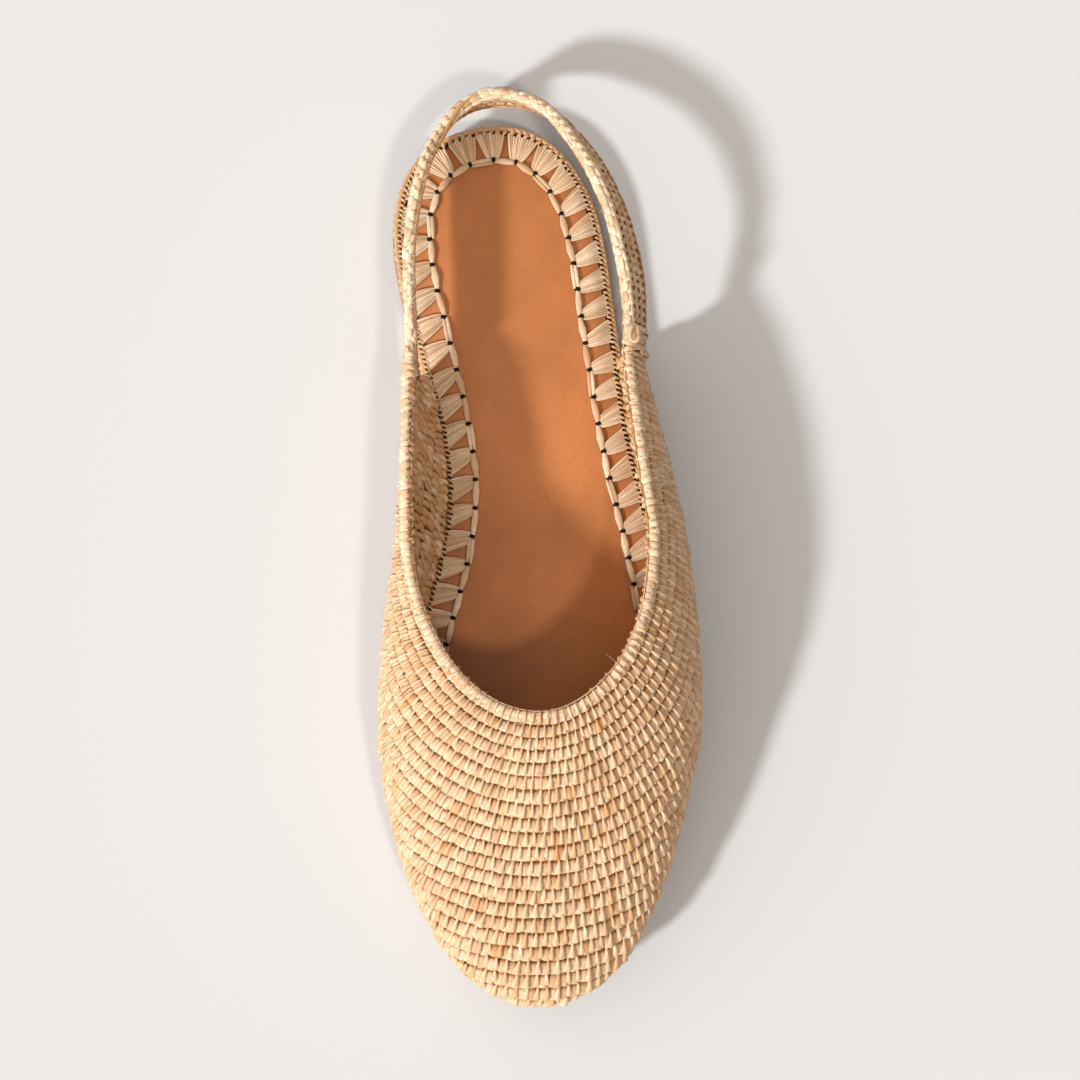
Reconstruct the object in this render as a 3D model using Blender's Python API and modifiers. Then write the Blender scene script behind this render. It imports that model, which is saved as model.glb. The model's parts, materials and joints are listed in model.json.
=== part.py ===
"""Raffia slingback flat, the left shoe, standing empty on its sole.

The shoe's own frame has +Z up, +Y from the toe to the heel and +X to the outer (lateral) side of the
foot, with the tip of the toe at Y = 0 and the floor at Z = 0. The pieces are then moved together, so that
the middle of the bottom of the shoe's box is at the origin.

Widths across the shoe are shares of BALL_WIDTH, stations along it are shares of LENGTH counted from the
toe, and heights of the upper are shares of UPPER_HEIGHT counted from its seam with the sole.
"""

import functools
import math
from collections import namedtuple

import bmesh
import bpy
import numpy as np
from mathutils import Vector

# Main sizes, in metres
LENGTH = 0.249  # tip of the toe to the back of the sole
BALL_WIDTH = 0.0895  # across the upper at the ball of the foot
UPPER_HEIGHT = 0.0424  # throat above the upper's seam

# Sole
OUTSOLE_THICKNESS = 0.004
INSOLE_THICKNESS = 0.0022
HEEL_LIFT = 0.0035  # heel seat above the tread of the forefoot
TOE_SPRING = 0.0055
TOE_OVERHANG = 0.0025  # upper in front of the sole at the toe
SOLE_BEVEL = 0.0008
INSOLE_BEVEL = 0.0005
HEEL_INSET = 0.0010
HEEL_TOP_BEVEL = 0.0004
EDGE_WIDTH = 0.0024  # crocheted edge row round the insole
EDGE_HEIGHT = 0.0027

# Crocheted upper and strap
WALL = 0.0018
ROW_PITCH = 0.0042
ROW_RISE = 0.0007
STRAP_WIDTH = 0.0120
STRAP_THICKNESS = 0.0018
STRAP_ROWS = 3
WRAP_LENGTH = 0.0060
WRAP_THICKNESS = 0.0009

CLEARANCE = 0.0003  # between pieces that touch

# Stations along the sole, as shares of LENGTH
TREAD_FRONT = 0.32
TREAD_BACK = 0.42
SEAT_FRONT = 0.80
HEEL_BREAST = 0.755
THROAT = 0.313
THROAT_BACK = 0.52  # where the round of the throat runs into the side walls
MEDIAL_BACK = 0.700  # back edges of the upper
LATERAL_BACK = 0.720

THROAT_CENTRE = 0.012  # share of BALL_WIDTH

# Shape factors
SEAM_CURVE = 1.6  # how late the upper turns in under itself on its way down to the seam
TOE_FADE = 4  # how soon TOE_OVERHANG fades behind the toe
EDGE_CORNER = 0.25  # corners cut off the edge row's section, as a share of its sides
WRAP_SWELL = (0.6, 1.0, 1.0, 0.6)  # thickness of a wrap at each of its sections
SHARP_ANGLE_DEG = 50

# How many sections each form has
SOLE_SECTIONS = 26
OUTLINE_STEPS = 90
WALE_STEPS = 16
WALL_WALES = 7
THROAT_WALES = 36
STRAP_SECTIONS = 44

COLLECTION = "slingback_flat"
MEDIAL, LATERAL = "medial", "lateral"

# Outline of the sole, toe to heel
SoleRow = namedtuple("SoleRow", "station medial lateral")
SOLE_ROWS = (
    SoleRow(0.000, 0.011, 0.011),
    SoleRow(0.020, -0.150, 0.175),
    SoleRow(0.050, -0.228, 0.254),
    SoleRow(0.100, -0.305, 0.328),
    SoleRow(0.200, -0.388, 0.428),
    SoleRow(0.300, -0.408, 0.488),
    SoleRow(0.400, -0.350, 0.504),
    SoleRow(0.500, -0.262, 0.474),
    SoleRow(0.560, -0.226, 0.441),
    SoleRow(0.620, -0.230, 0.408),
    SoleRow(0.700, -0.266, 0.380),
    SoleRow(0.780, -0.311, 0.356),
    SoleRow(0.850, -0.340, 0.338),
    SoleRow(0.900, -0.335, 0.311),
    SoleRow(0.950, -0.284, 0.246),
    SoleRow(0.985, -0.175, 0.150),
    SoleRow(1.000, 0.004, 0.004),
)

# Outer face of the upper: where it is widest on each side, and its crown
UpperRow = namedtuple(
    "UpperRow", "station medial lateral crown medial_height lateral_height crown_height"
)
UPPER_ROWS = (
    UpperRow(0.000, 0.011, 0.011, 0.011, 0.075, 0.075, 0.075),
    UpperRow(0.020, -0.170, 0.197, 0.013, 0.085, 0.085, 0.215),
    UpperRow(0.050, -0.255, 0.288, 0.016, 0.106, 0.106, 0.318),
    UpperRow(0.100, -0.338, 0.369, 0.019, 0.160, 0.160, 0.455),
    UpperRow(0.200, -0.422, 0.472, 0.025, 0.250, 0.250, 0.717),
    UpperRow(0.300, -0.454, 0.537, 0.027, 0.316, 0.290, 0.976),
    UpperRow(0.400, -0.435, 0.546, 0.025, 0.410, 0.290, 1.070),
    UpperRow(0.500, -0.393, 0.522, 0.018, 0.590, 0.283, 1.050),
    UpperRow(0.600, -0.364, 0.478, 0.009, 0.610, 0.255, 0.970),
    UpperRow(0.700, -0.342, 0.420, 0.000, 0.366, 0.224, 0.830),
    UpperRow(0.740, -0.337, 0.404, 0.000, 0.310, 0.215, 0.775),
)

# Topline of the side walls, behind the throat
ToplineRow = namedtuple("ToplineRow", "station medial lateral")
TOPLINE_ROWS = (
    ToplineRow(0.52, -0.361, 0.382),
    ToplineRow(0.60, -0.352, 0.361),
    ToplineRow(0.66, -0.337, 0.352),
    ToplineRow(0.74, -0.328, 0.350),
)

# Middle line of the heel strap from the medial to the lateral end. Its height is a share of UPPER_HEIGHT
# above the floor, and lean is how far its top edge leans in over the foot.
StrapRow = namedtuple("StrapRow", "station side height lean_deg")
STRAP_TABLE = (
    StrapRow(0.700, -0.318, 0.625, -5),
    StrapRow(0.750, -0.312, 0.637, -4),
    StrapRow(0.800, -0.312, 0.637, -3),
    StrapRow(0.850, -0.303, 0.625, -3),
    StrapRow(0.900, -0.278, 0.601, 0),
    StrapRow(0.940, -0.248, 0.566, 3),
    StrapRow(0.970, -0.209, 0.505, 5),
    StrapRow(0.993, -0.165, 0.470, 6),
    StrapRow(1.011, -0.110, 0.460, 4),
    StrapRow(1.021, -0.022, 0.484, 0),
    StrapRow(1.014, 0.084, 0.535, 8),
    StrapRow(0.997, 0.158, 0.583, 15),
    StrapRow(0.975, 0.207, 0.637, 21),
    StrapRow(0.947, 0.256, 0.691, 26),
    StrapRow(0.910, 0.303, 0.743, 30),
    StrapRow(0.870, 0.340, 0.778, 33),
    StrapRow(0.830, 0.364, 0.785, 34),
    StrapRow(0.790, 0.380, 0.776, 32),
    StrapRow(0.755, 0.382, 0.736, 28),
    StrapRow(0.720, 0.380, 0.682, 25),
)


def turn_of(station):
    """An angle that runs from 0 at the toe to pi at the heel, in which a round end is a smooth curve."""
    return math.acos(1 - 2 * min(max(station, 0), 1))


def station_of(turn):
    return (1 - math.cos(turn)) / 2


def curve_through(places, values, slopes, place):
    """A smooth curve through the values at the places, read at one place."""
    i = int(np.clip(np.searchsorted(places, place) - 1, 0, len(places) - 2))
    step = places[i + 1] - places[i]
    t = (place - places[i]) / step
    return (
        values[i] * (1 + 2 * t) * (1 - t) ** 2
        + slopes[i] * step * t * (1 - t) ** 2
        + values[i + 1] * t**2 * (3 - 2 * t)
        - slopes[i + 1] * step * t**2 * (1 - t)
    )


@functools.cache
def knots(table, column):
    """Places, values and slopes of one column of a table of sections."""
    places = np.array([turn_of(row.station) for row in table])
    values = np.array([getattr(row, column) for row in table])
    return places, values, np.gradient(values, places)


def read(table, column, station):
    """One column of a table of sections, at any station."""
    return curve_through(*knots(table, column), turn_of(station))


def ease(t):
    t = min(max(t, 0), 1)
    return t * t * (3 - 2 * t)


def lift(station):
    """How far the sole rises above its tread, for the toe spring, the arch and the heel seat."""
    toe = TOE_SPRING * max(0, 1 - station / TREAD_FRONT) ** 2
    heel = HEEL_LIFT * ease((station - TREAD_BACK) / (SEAT_FRONT - TREAD_BACK))
    return toe + heel


def seam_height(station):
    """Where the upper is sewn down: on top of the edge row."""
    return OUTSOLE_THICKNESS + EDGE_HEIGHT + 2 * CLEARANCE + lift(station)


def sole_edge(side, station):
    """A point of the sole's outline, in plan."""
    overhang = TOE_OVERHANG * (1 - station) ** TOE_FADE
    return np.array([BALL_WIDTH * read(SOLE_ROWS, side, station), LENGTH * station + overhang])


def outline_loop(first=0.0):
    """The sole's outline as a plan loop, from the station first back to the heel and forward again.

    It starts with one point where first is the toe, and elsewhere with a point on each side of the foot.
    """
    start = turn_of(first)
    turns = np.linspace(start, math.pi, SOLE_SECTIONS + 1)
    medial = [sole_edge(MEDIAL, station_of(turn)) for turn in turns]
    lateral = [sole_edge(LATERAL, station_of(turn)) for turn in turns]
    ahead = 1 if first == 0 else 0
    return np.array(medial + lateral[-2::-1][: SOLE_SECTIONS - ahead])


def inset(loop, distance):
    """A closed plan loop, moved inwards by a distance."""
    along = np.roll(loop, -1, axis=0) - np.roll(loop, 1, axis=0)
    along /= np.linalg.norm(along, axis=1)[:, None]
    inwards = np.stack([along[:, 1], -along[:, 0]], axis=1)
    return loop + inwards * distance


def raised(loop, height):
    """A plan loop as points in space, height being a function of the station or a fixed number."""
    if not callable(height):
        return [Vector((x, y, height)) for x, y in loop]
    return [Vector((x, y, height(y / LENGTH))) for x, y in loop]


def add_face(mesh, corners):
    corners = list(dict.fromkeys(corners))
    if len(corners) > 2:
        mesh.faces.new(corners)


def bridge(mesh, lower, upper):
    """Faces between two closed loops of vertices."""
    for i in range(len(lower)):
        j = (i + 1) % len(lower)
        add_face(mesh, [lower[i], lower[j], upper[j], upper[i]])


def finish(name, mesh, material):
    """Makes a named object of a bmesh, with its faces pointing out."""
    bmesh.ops.remove_doubles(mesh, verts=mesh.verts, dist=1e-7)
    bmesh.ops.recalc_face_normals(mesh, faces=mesh.faces)
    data = bpy.data.meshes.new(name)
    mesh.to_mesh(data)
    mesh.free()
    data.materials.append(material)
    data.shade_smooth()
    data.set_sharp_from_angle(angle=math.radians(SHARP_ANGLE_DEG))
    piece = bpy.data.objects.new(name, data)
    bpy.data.collections[COLLECTION].objects.link(piece)
    piece.parent = bpy.data.objects[COLLECTION]
    return piece


def plate(name, rings, material, from_toe=True):
    """A closed plate through rings of points, lowest first, with strips across the foot as its faces."""
    mesh = bmesh.new()
    loops = [[mesh.verts.new(point) for point in ring] for ring in rings]
    for lower, upper in zip(loops, loops[1:]):
        bridge(mesh, lower, upper)
    opposite = 0 if from_toe else 1
    for loop in (loops[0], loops[-1]):
        for i in range(SOLE_SECTIONS):
            add_face(mesh, [loop[i], loop[i + 1], loop[-i - 1 - opposite], loop[-i - opposite]])
    return finish(name, mesh, material)


def hoop(name, rings, material):
    """A closed ring of material through loops of points that follow each other round its section."""
    mesh = bmesh.new()
    loops = [[mesh.verts.new(point) for point in ring] for ring in rings]
    for lower, upper in zip(loops, loops[1:] + loops[:1]):
        bridge(mesh, lower, upper)
    return finish(name, mesh, material)


def make_outsole(material):
    """Thin outsole with toe spring, a flat tread at the ball, an arch and a level heel seat."""
    outline = outline_loop()

    def above_tread(height):
        return lambda station: lift(station) + height

    rings = [
        raised(inset(outline, SOLE_BEVEL), above_tread(0)),
        raised(outline, above_tread(SOLE_BEVEL)),
        raised(outline, above_tread(OUTSOLE_THICKNESS - SOLE_BEVEL)),
        raised(inset(outline, SOLE_BEVEL), above_tread(OUTSOLE_THICKNESS)),
    ]
    return plate("outsole", rings, material)


def make_heel_lift(material):
    """Heel piece under the seat: flat on the floor, its top follows the outsole."""
    outline = outline_loop(HEEL_BREAST)

    def top(below):
        return lambda station: lift(station) - CLEARANCE - below

    rings = [
        raised(inset(outline, HEEL_INSET + SOLE_BEVEL), 0),
        raised(inset(outline, HEEL_INSET), SOLE_BEVEL),
        raised(inset(outline, HEEL_INSET), top(HEEL_TOP_BEVEL)),
        raised(inset(outline, HEEL_INSET + HEEL_TOP_BEVEL), top(0)),
    ]
    return plate("heel_lift", rings, material, from_toe=False)


def make_edge_row(material):
    """Crocheted row round the insole, on which the upper stands."""
    outline = outline_loop()
    section = [(0, EDGE_CORNER), (0, 1 - EDGE_CORNER), (EDGE_CORNER, 1), (1 - EDGE_CORNER, 1)]
    section += [(1 - inwards, 1 - up) for inwards, up in section]
    rings = []
    for inwards, up in section:
        base = OUTSOLE_THICKNESS + CLEARANCE + EDGE_HEIGHT * up
        loop = inset(outline, EDGE_WIDTH * inwards)
        rings.append(raised(loop, lambda station, base=base: lift(station) + base))
    return hoop("edge_row", rings, material)


def make_insole(material):
    outline = inset(outline_loop(), EDGE_WIDTH + CLEARANCE)
    base = OUTSOLE_THICKNESS + CLEARANCE
    top = base + INSOLE_THICKNESS
    rings = [
        raised(outline, lambda station: lift(station) + base),
        raised(outline, lambda station: lift(station) + top - INSOLE_BEVEL),
        raised(inset(outline, INSOLE_BEVEL), lambda station: lift(station) + top),
    ]
    return plate("insole", rings, material)


def widest(side, station):
    """The point of the upper's outer face that stands out furthest on one side of a section."""
    height = seam_height(station) + UPPER_HEIGHT * read(UPPER_ROWS, side + "_height", station)
    return Vector((BALL_WIDTH * read(UPPER_ROWS, side, station), LENGTH * station, height))


def vamp_point(x, y):
    """The upper's outer face over a point in plan: each section is two quarter ellipses from its crown."""
    station = y / LENGTH
    crown_x = BALL_WIDTH * read(UPPER_ROWS, "crown", station)
    crown_height = seam_height(station) + UPPER_HEIGHT * read(UPPER_ROWS, "crown_height", station)
    side = widest(LATERAL if x > crown_x else MEDIAL, station)
    share = min(1, abs(x - crown_x) / max(abs(side.x - crown_x), 1e-9))
    return Vector((x, y, side.z + (crown_height - side.z) * math.sqrt(1 - share**2)))


def topline():
    """Start and plan heading of each wale on the topline, from the medial back to the lateral back."""
    middle = BALL_WIDTH * THROAT_CENTRE
    reach = LENGTH * (THROAT_BACK - THROAT)
    starts = []
    for side, back in ((MEDIAL, MEDIAL_BACK), (LATERAL, LATERAL_BACK)):
        outwards = -1 if side == MEDIAL else 1
        wall = []
        for i in range(WALL_WALES):
            station = back + (THROAT_BACK - back) * i / WALL_WALES
            x = BALL_WIDTH * read(TOPLINE_ROWS, side, station)
            wall.append((Vector((x, LENGTH * station)), Vector((outwards, 0))))
        half_width = abs(BALL_WIDTH * read(TOPLINE_ROWS, side, THROAT_BACK) - middle)
        for i in range(THROAT_WALES // 2 + 1):
            heading = math.pi / 2 * (1 - 2 * i / THROAT_WALES)
            around = math.atan2(half_width * math.sin(heading), reach * math.cos(heading))
            x = middle + outwards * half_width * math.sin(around)
            y = LENGTH * THROAT_BACK - reach * math.cos(around)
            wall.append((Vector((x, y)), Vector((outwards * math.sin(heading), -math.cos(heading)))))
        starts.append(wall)
    medial, lateral = starts
    return medial + lateral[-2::-1]


@functools.cache
def widest_outline(side):
    """Stations and plan points of the upper's widest outline on one side, from the toe back."""
    last = turn_of(UPPER_ROWS[-1].station)
    stations = [station_of(last * i / OUTLINE_STEPS) for i in range(OUTLINE_STEPS + 1)]
    return stations, [widest(side, station).xy for station in stations]


def meet_outline(start, heading):
    """The side and station where the plan line from start along heading meets the upper's widest outline."""
    found = []
    for side in (MEDIAL, LATERAL):
        stations, points = widest_outline(side)
        misses = [heading.cross(point - start) for point in points]
        for i in range(OUTLINE_STEPS):
            crosses = misses[i] * misses[i + 1] <= 0 and misses[i] != misses[i + 1]
            if crosses and (points[i] - start).dot(heading) > 0:
                share = misses[i] / (misses[i] - misses[i + 1])
                station = stations[i] + (stations[i + 1] - stations[i]) * share
                found.append(((points[i] - start).length, side, station))
    return min(found)[1:]


def wale(start, heading):
    """Points down the upper's outer face, from the topline to the seam."""
    side, station = meet_outline(start, heading)
    out = widest(side, station)
    points = []
    for i in range(WALE_STEPS + 1):
        plan = start + (out.xy - start) * math.sin(math.pi / 2 * i / WALE_STEPS)
        points.append(vamp_point(plan.x, plan.y))
    points[-1] = out
    foot = Vector((*sole_edge(side, station), seam_height(station)))
    for i in range(1, WALE_STEPS + 1):
        down = i / WALE_STEPS
        point = out.lerp(foot, down**SEAM_CURVE)
        point.z = out.z + (foot.z - out.z) * down
        points.append(point)
    return points


def resampled(points, step):
    """Points a step apart along a polyline, the last of them at its end."""
    lengths = [0.0]
    for a, b in zip(points, points[1:]):
        lengths.append(lengths[-1] + (b - a).length)
    count = max(2, round(lengths[-1] / step))
    places = [step * i for i in range(count)] + [lengths[-1]]
    columns = [np.interp(places, lengths, [point[axis] for point in points]) for axis in range(3)]
    return [Vector(point) for point in zip(*columns)]


def make_upper(material):
    """Crocheted shell in one wall, whose raised rows follow the topline and end at the seam."""
    mesh = bmesh.new()
    columns = []
    ridges = []
    for start, heading in topline():
        column = [mesh.verts.new(point) for point in resampled(wale(start, heading), ROW_PITCH / 2)]
        ridges += column[1:-1:2]
        columns.append(column)
    longest = max(len(column) for column in columns)
    columns = [column + [column[-1]] * (longest - len(column)) for column in columns]
    for left, right in zip(columns, columns[1:]):
        for k in range(longest - 1):
            add_face(mesh, [left[k], left[k + 1], right[k + 1], right[k]])
    mesh.normal_update()
    moves = [(vertex, vertex.normal * ROW_RISE) for vertex in ridges]
    for vertex, move in moves:
        vertex.co += move
    upper = finish("upper", mesh, material)
    wall = upper.modifiers.new("wall", "SOLIDIFY")
    wall.thickness = WALL
    wall.offset = -1
    return upper


@functools.cache
def strap_knots():
    """Shares of the strap's length at which its table has rows, its whole length, and the rows in metres."""
    rows = []
    for row in STRAP_TABLE:
        rows.append((BALL_WIDTH * row.side, LENGTH * row.station, UPPER_HEIGHT * row.height, row.lean_deg))
    for end, back in ((0, MEDIAL_BACK), (-1, LATERAL_BACK)):
        x, _, z, lean = rows[end]
        rows[end] = (x, LENGTH * back + 2 * CLEARANCE, z, lean)
    places = np.array([0.0] + [math.dist(a[:3], b[:3]) for a, b in zip(rows, rows[1:])]).cumsum()
    return places / places[-1], places[-1], np.array(rows)


def strap_at(share):
    """Middle line of the strap and its lean in degrees, at a share of its length from the medial end."""
    places, _, rows = strap_knots()
    return [curve_through(places, column, np.gradient(column, places), share) for column in rows.T]


def strap_frame(share):
    """Middle, outward and upward directions of the heel strap, at a share of the way round the heel."""
    x, y, z, lean = strap_at(share)
    nearby = 1 / (2 * STRAP_SECTIONS)
    ahead = strap_at(min(1, share + nearby))
    behind = strap_at(max(0, share - nearby))
    along = Vector((ahead[0] - behind[0], ahead[1] - behind[1], 0)).normalized()
    outwards = Vector((-along.y, along.x, 0))
    tilt = math.radians(lean)
    up = Vector((0, 0, math.cos(tilt))) - outwards * math.sin(tilt)
    out = outwards * math.cos(tilt) + Vector((0, 0, math.sin(tilt)))
    return Vector((x, y, z)), out, up


def strap_loop(share, margin=0.0):
    """The strap's section as a loop of points: a band with raised rows of crochet on its outer face."""
    middle, out, up = strap_frame(share)
    half = STRAP_THICKNESS / 2 + margin
    section = []
    steps = 2 * STRAP_ROWS
    for i in range(steps + 1):
        rise = ROW_RISE if i % 2 else 0
        section.append((half + rise, (i / steps - 0.5) * (STRAP_WIDTH + 2 * margin)))
    section += [(-half, section[-1][1]), (-half, 0.0), (-half, section[0][1])]
    return [middle + out * outward + up * upward for outward, upward in section]


def make_strap(material):
    mesh = bmesh.new()
    shares = np.linspace(0, 1, STRAP_SECTIONS + 1)
    loops = [[mesh.verts.new(point) for point in strap_loop(share)] for share in shares]
    for lower, upper in zip(loops, loops[1:]):
        bridge(mesh, lower, upper)
    mesh.faces.new(loops[0])
    mesh.faces.new(loops[-1])
    return finish("heel_strap", mesh, material)


def make_wrap(side, material):
    """Strand wound round an end of the strap, where it is sewn to the upper."""
    length = strap_knots()[1]
    places = np.linspace(2 * CLEARANCE, WRAP_LENGTH, len(WRAP_SWELL)) / length
    if side == LATERAL:
        places = 1 - places
    margins = [CLEARANCE + WRAP_THICKNESS * swell for swell in WRAP_SWELL]
    outer = [strap_loop(place, margin) for place, margin in zip(places, margins)]
    inner = [strap_loop(place, CLEARANCE) for place in places[::-1]]
    return hoop(f"strap_wrap_{side}", outer + inner, material)


def make_material(name, color, roughness):
    material = bpy.data.materials.new(name)
    material.diffuse_color = (*color, 1)
    material.use_nodes = True
    shader = material.node_tree.nodes["Principled BSDF"]
    shader.inputs["Base Color"].default_value = (*color, 1)
    shader.inputs["Roughness"].default_value = roughness
    return material


def centre_on_floor():
    """Moves the pieces so that the middle of the bottom of their common box is at the origin."""
    bpy.context.view_layer.update()
    graph = bpy.context.evaluated_depsgraph_get()
    points = []
    for piece in bpy.data.collections[COLLECTION].objects:
        if piece.type == "MESH":
            mesh = piece.evaluated_get(graph).to_mesh()
            points += [tuple(vertex.co) for vertex in mesh.vertices]
            piece.evaluated_get(graph).to_mesh_clear()
    points = np.array(points)
    low, high = points.min(axis=0), points.max(axis=0)
    root = bpy.data.objects[COLLECTION]
    root.location = (-(low[0] + high[0]) / 2, -(low[1] + high[1]) / 2, -low[2])


def main():
    for old in list(bpy.data.objects):
        bpy.data.objects.remove(old)
    collection = bpy.data.collections.new(COLLECTION)
    bpy.context.scene.collection.children.link(collection)
    collection.objects.link(bpy.data.objects.new(COLLECTION, None))

    raffia = make_material("raffia", (0.76, 0.60, 0.42), 0.65)
    insole_leather = make_material("insole_leather", (0.62, 0.27, 0.11), 0.5)
    sole_leather = make_material("sole_leather", (0.33, 0.18, 0.09), 0.6)

    make_outsole(sole_leather)
    make_heel_lift(sole_leather)
    make_edge_row(raffia)
    make_insole(insole_leather)
    make_upper(raffia)
    make_strap(raffia)
    make_wrap(MEDIAL, raffia)
    make_wrap(LATERAL, raffia)
    centre_on_floor()


main()
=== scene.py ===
"""Looks of a raffia slingback flat: crochet, leather, sewn raffia fans, floor, lights and camera.

Shapes are worked out in the shoe's own frame, in metres: +Z up, +Y from the toe to the heel, +X to the outer
side of the foot, with the tip of the toe at Y = 0 and the floor at Z = 0. ORIGIN moves them to the model's
frame.
"""

import functools
import json
import math
from collections import namedtuple

import bmesh
import bpy
import numpy as np
from bpy.props import FloatProperty, FloatVectorProperty, IntProperty, PointerProperty
from mathutils import Matrix, Vector, noise

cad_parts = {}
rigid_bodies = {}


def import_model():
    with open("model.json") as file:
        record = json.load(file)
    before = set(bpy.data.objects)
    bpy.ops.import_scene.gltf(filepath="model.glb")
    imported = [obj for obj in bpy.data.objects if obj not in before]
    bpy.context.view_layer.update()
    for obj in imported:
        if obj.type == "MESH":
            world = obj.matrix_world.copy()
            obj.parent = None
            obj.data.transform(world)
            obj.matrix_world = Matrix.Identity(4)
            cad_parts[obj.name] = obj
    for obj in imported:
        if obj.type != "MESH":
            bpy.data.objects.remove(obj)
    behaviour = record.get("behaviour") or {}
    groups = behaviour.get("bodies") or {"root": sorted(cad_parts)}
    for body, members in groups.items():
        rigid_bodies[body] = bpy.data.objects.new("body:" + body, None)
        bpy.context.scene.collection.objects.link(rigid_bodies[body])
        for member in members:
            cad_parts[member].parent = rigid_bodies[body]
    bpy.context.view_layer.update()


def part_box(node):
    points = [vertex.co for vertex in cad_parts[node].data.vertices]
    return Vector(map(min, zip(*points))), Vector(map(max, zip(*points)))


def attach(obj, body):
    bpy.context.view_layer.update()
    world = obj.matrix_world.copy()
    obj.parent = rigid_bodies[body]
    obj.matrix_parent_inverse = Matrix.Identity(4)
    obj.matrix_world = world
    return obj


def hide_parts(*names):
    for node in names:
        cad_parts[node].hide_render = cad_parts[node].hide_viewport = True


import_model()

bl_info = {
    "name": "Raffia slingback flat",
    "version": (1, 0, 0),
    "blender": (4, 5, 0),
    "location": "3D View > Sidebar > Slingback",
    "description": "Crochet, leather and sewn raffia of a slingback flat",
    "category": "Object",
}

MM = 0.001

# Main sizes of the solids, in metres
LENGTH = 0.249
BALL_WIDTH = 0.0895
UPPER_HEIGHT = 0.0424
OUTSOLE_THICKNESS = 0.004
INSOLE_THICKNESS = 0.0022
HEEL_LIFT = 0.0035
TOE_SPRING = 0.0055
TOE_OVERHANG = 0.0025
TOE_FADE = 4
SOLE_BEVEL = 0.0008
HEEL_INSET = 0.0010
EDGE_WIDTH = 0.0024
EDGE_HEIGHT = 0.0027
WALL = 0.0018
ROW_PITCH = 0.0042
STRAP_WIDTH = 0.0120
STRAP_THICKNESS = 0.0018
CLEARANCE = 0.0003
TREAD_FRONT = 0.32
TREAD_BACK = 0.42
SEAT_FRONT = 0.80
HEEL_BREAST = 0.755
THROAT = 0.313
THROAT_BACK = 0.52
MEDIAL_BACK = 0.700
LATERAL_BACK = 0.720
THROAT_CENTRE = 0.012
SEAM_CURVE = 1.6
SOLE_SECTIONS = 26
OUTLINE_STEPS = 90
WALE_STEPS = 20
WALL_WALES = 20
THROAT_WALES = 110

MEDIAL, LATERAL = "medial", "lateral"

# Heights above the sole's underside: bottom and top of the insole, and top of the edge row
BASE = OUTSOLE_THICKNESS + CLEARANCE
BED = BASE + INSOLE_THICKNESS
RIM = BASE + EDGE_HEIGHT
INSOLE_BEVEL = 0.6 * MM
# Distance between points of the upper's grid, down each wale
GRID_STEP = ROW_PITCH / 4
# How far strands and threads on the insole lie above it, and the way they face
THREAD_RISE = 0.25 * MM
UP = (0, 0, 1)
# Share of the length behind which the rim's holes are wider apart
BACK_HOLES = 0.955
# Shares of the strap at which its orange strand starts, starts to cross over and ends; the strand is partly
# painted shadow, for the warm shadow line along the strap's inner top edge
STRAP_STRAND = (0.16, 0.36, 0.47)
# Layers of the wound strap ends: number of turns, and first and last distance from the end in millimetres
WRAP_LAYERS = ((4, 0.2, 5.2), (2, 4.8, -1.8), (1.5, -2.4, 5.6), (1, 1.5, -2.6))
# Wander of rows: its seed, how fine it is for one line alone and for neighbours together, and the latter's
# part
WANDER_SEED = 5
WANDER_ALONE = 90
WANDER_TOGETHER = 38
WANDER_SHARED = 1.6
# Distance of the two seam rows from the foot of the upper, in heights of a row
SEAM_PLACES = (1.45, 0.5)
# Streaks of raffia: how fine they are across and along a strand, and their shift from strand to strand
STREAK_SCALE = (2.9, 0.45, 0.0)
STREAK_SHIFT = 91.0
# Half the side of the floor, and the sky's least strength
FLOOR_REACH = 3.0
SKY_LEAST = 0.03


def table(fields, *rows):
    """Rows of numbers whose columns have names."""
    row_type = namedtuple("Row", fields)
    return tuple(row_type(*row) for row in rows)


SOLE_ROWS = table(
    "station medial lateral",
    (0.000, 0.011, 0.011), (0.020, -0.150, 0.175), (0.050, -0.228, 0.254), (0.100, -0.305, 0.328),
    (0.200, -0.388, 0.428), (0.300, -0.408, 0.488), (0.400, -0.350, 0.504), (0.500, -0.262, 0.474),
    (0.560, -0.226, 0.441), (0.620, -0.230, 0.408), (0.700, -0.266, 0.380), (0.780, -0.311, 0.356),
    (0.850, -0.340, 0.338), (0.900, -0.335, 0.311), (0.950, -0.284, 0.246), (0.985, -0.175, 0.150),
    (1.000, 0.004, 0.004),
)
UPPER_ROWS = table(
    "station medial lateral crown medial_height lateral_height crown_height",
    (0.000, 0.011, 0.011, 0.011, 0.075, 0.075, 0.075), (0.020, -0.170, 0.197, 0.013, 0.085, 0.085, 0.215),
    (0.050, -0.255, 0.288, 0.016, 0.106, 0.106, 0.318), (0.100, -0.338, 0.369, 0.019, 0.160, 0.160, 0.455),
    (0.200, -0.422, 0.472, 0.025, 0.250, 0.250, 0.717), (0.300, -0.454, 0.537, 0.027, 0.316, 0.290, 0.976),
    (0.400, -0.435, 0.546, 0.025, 0.410, 0.290, 1.070), (0.500, -0.393, 0.522, 0.018, 0.590, 0.283, 1.050),
    (0.600, -0.364, 0.478, 0.009, 0.610, 0.255, 0.970), (0.700, -0.342, 0.420, 0.000, 0.366, 0.224, 0.830),
    (0.740, -0.337, 0.404, 0.000, 0.310, 0.215, 0.775),
)
TOPLINE_ROWS = table(
    "station medial lateral",
    (0.52, -0.361, 0.382), (0.60, -0.352, 0.361), (0.66, -0.337, 0.352), (0.74, -0.328, 0.350),
)
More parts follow.
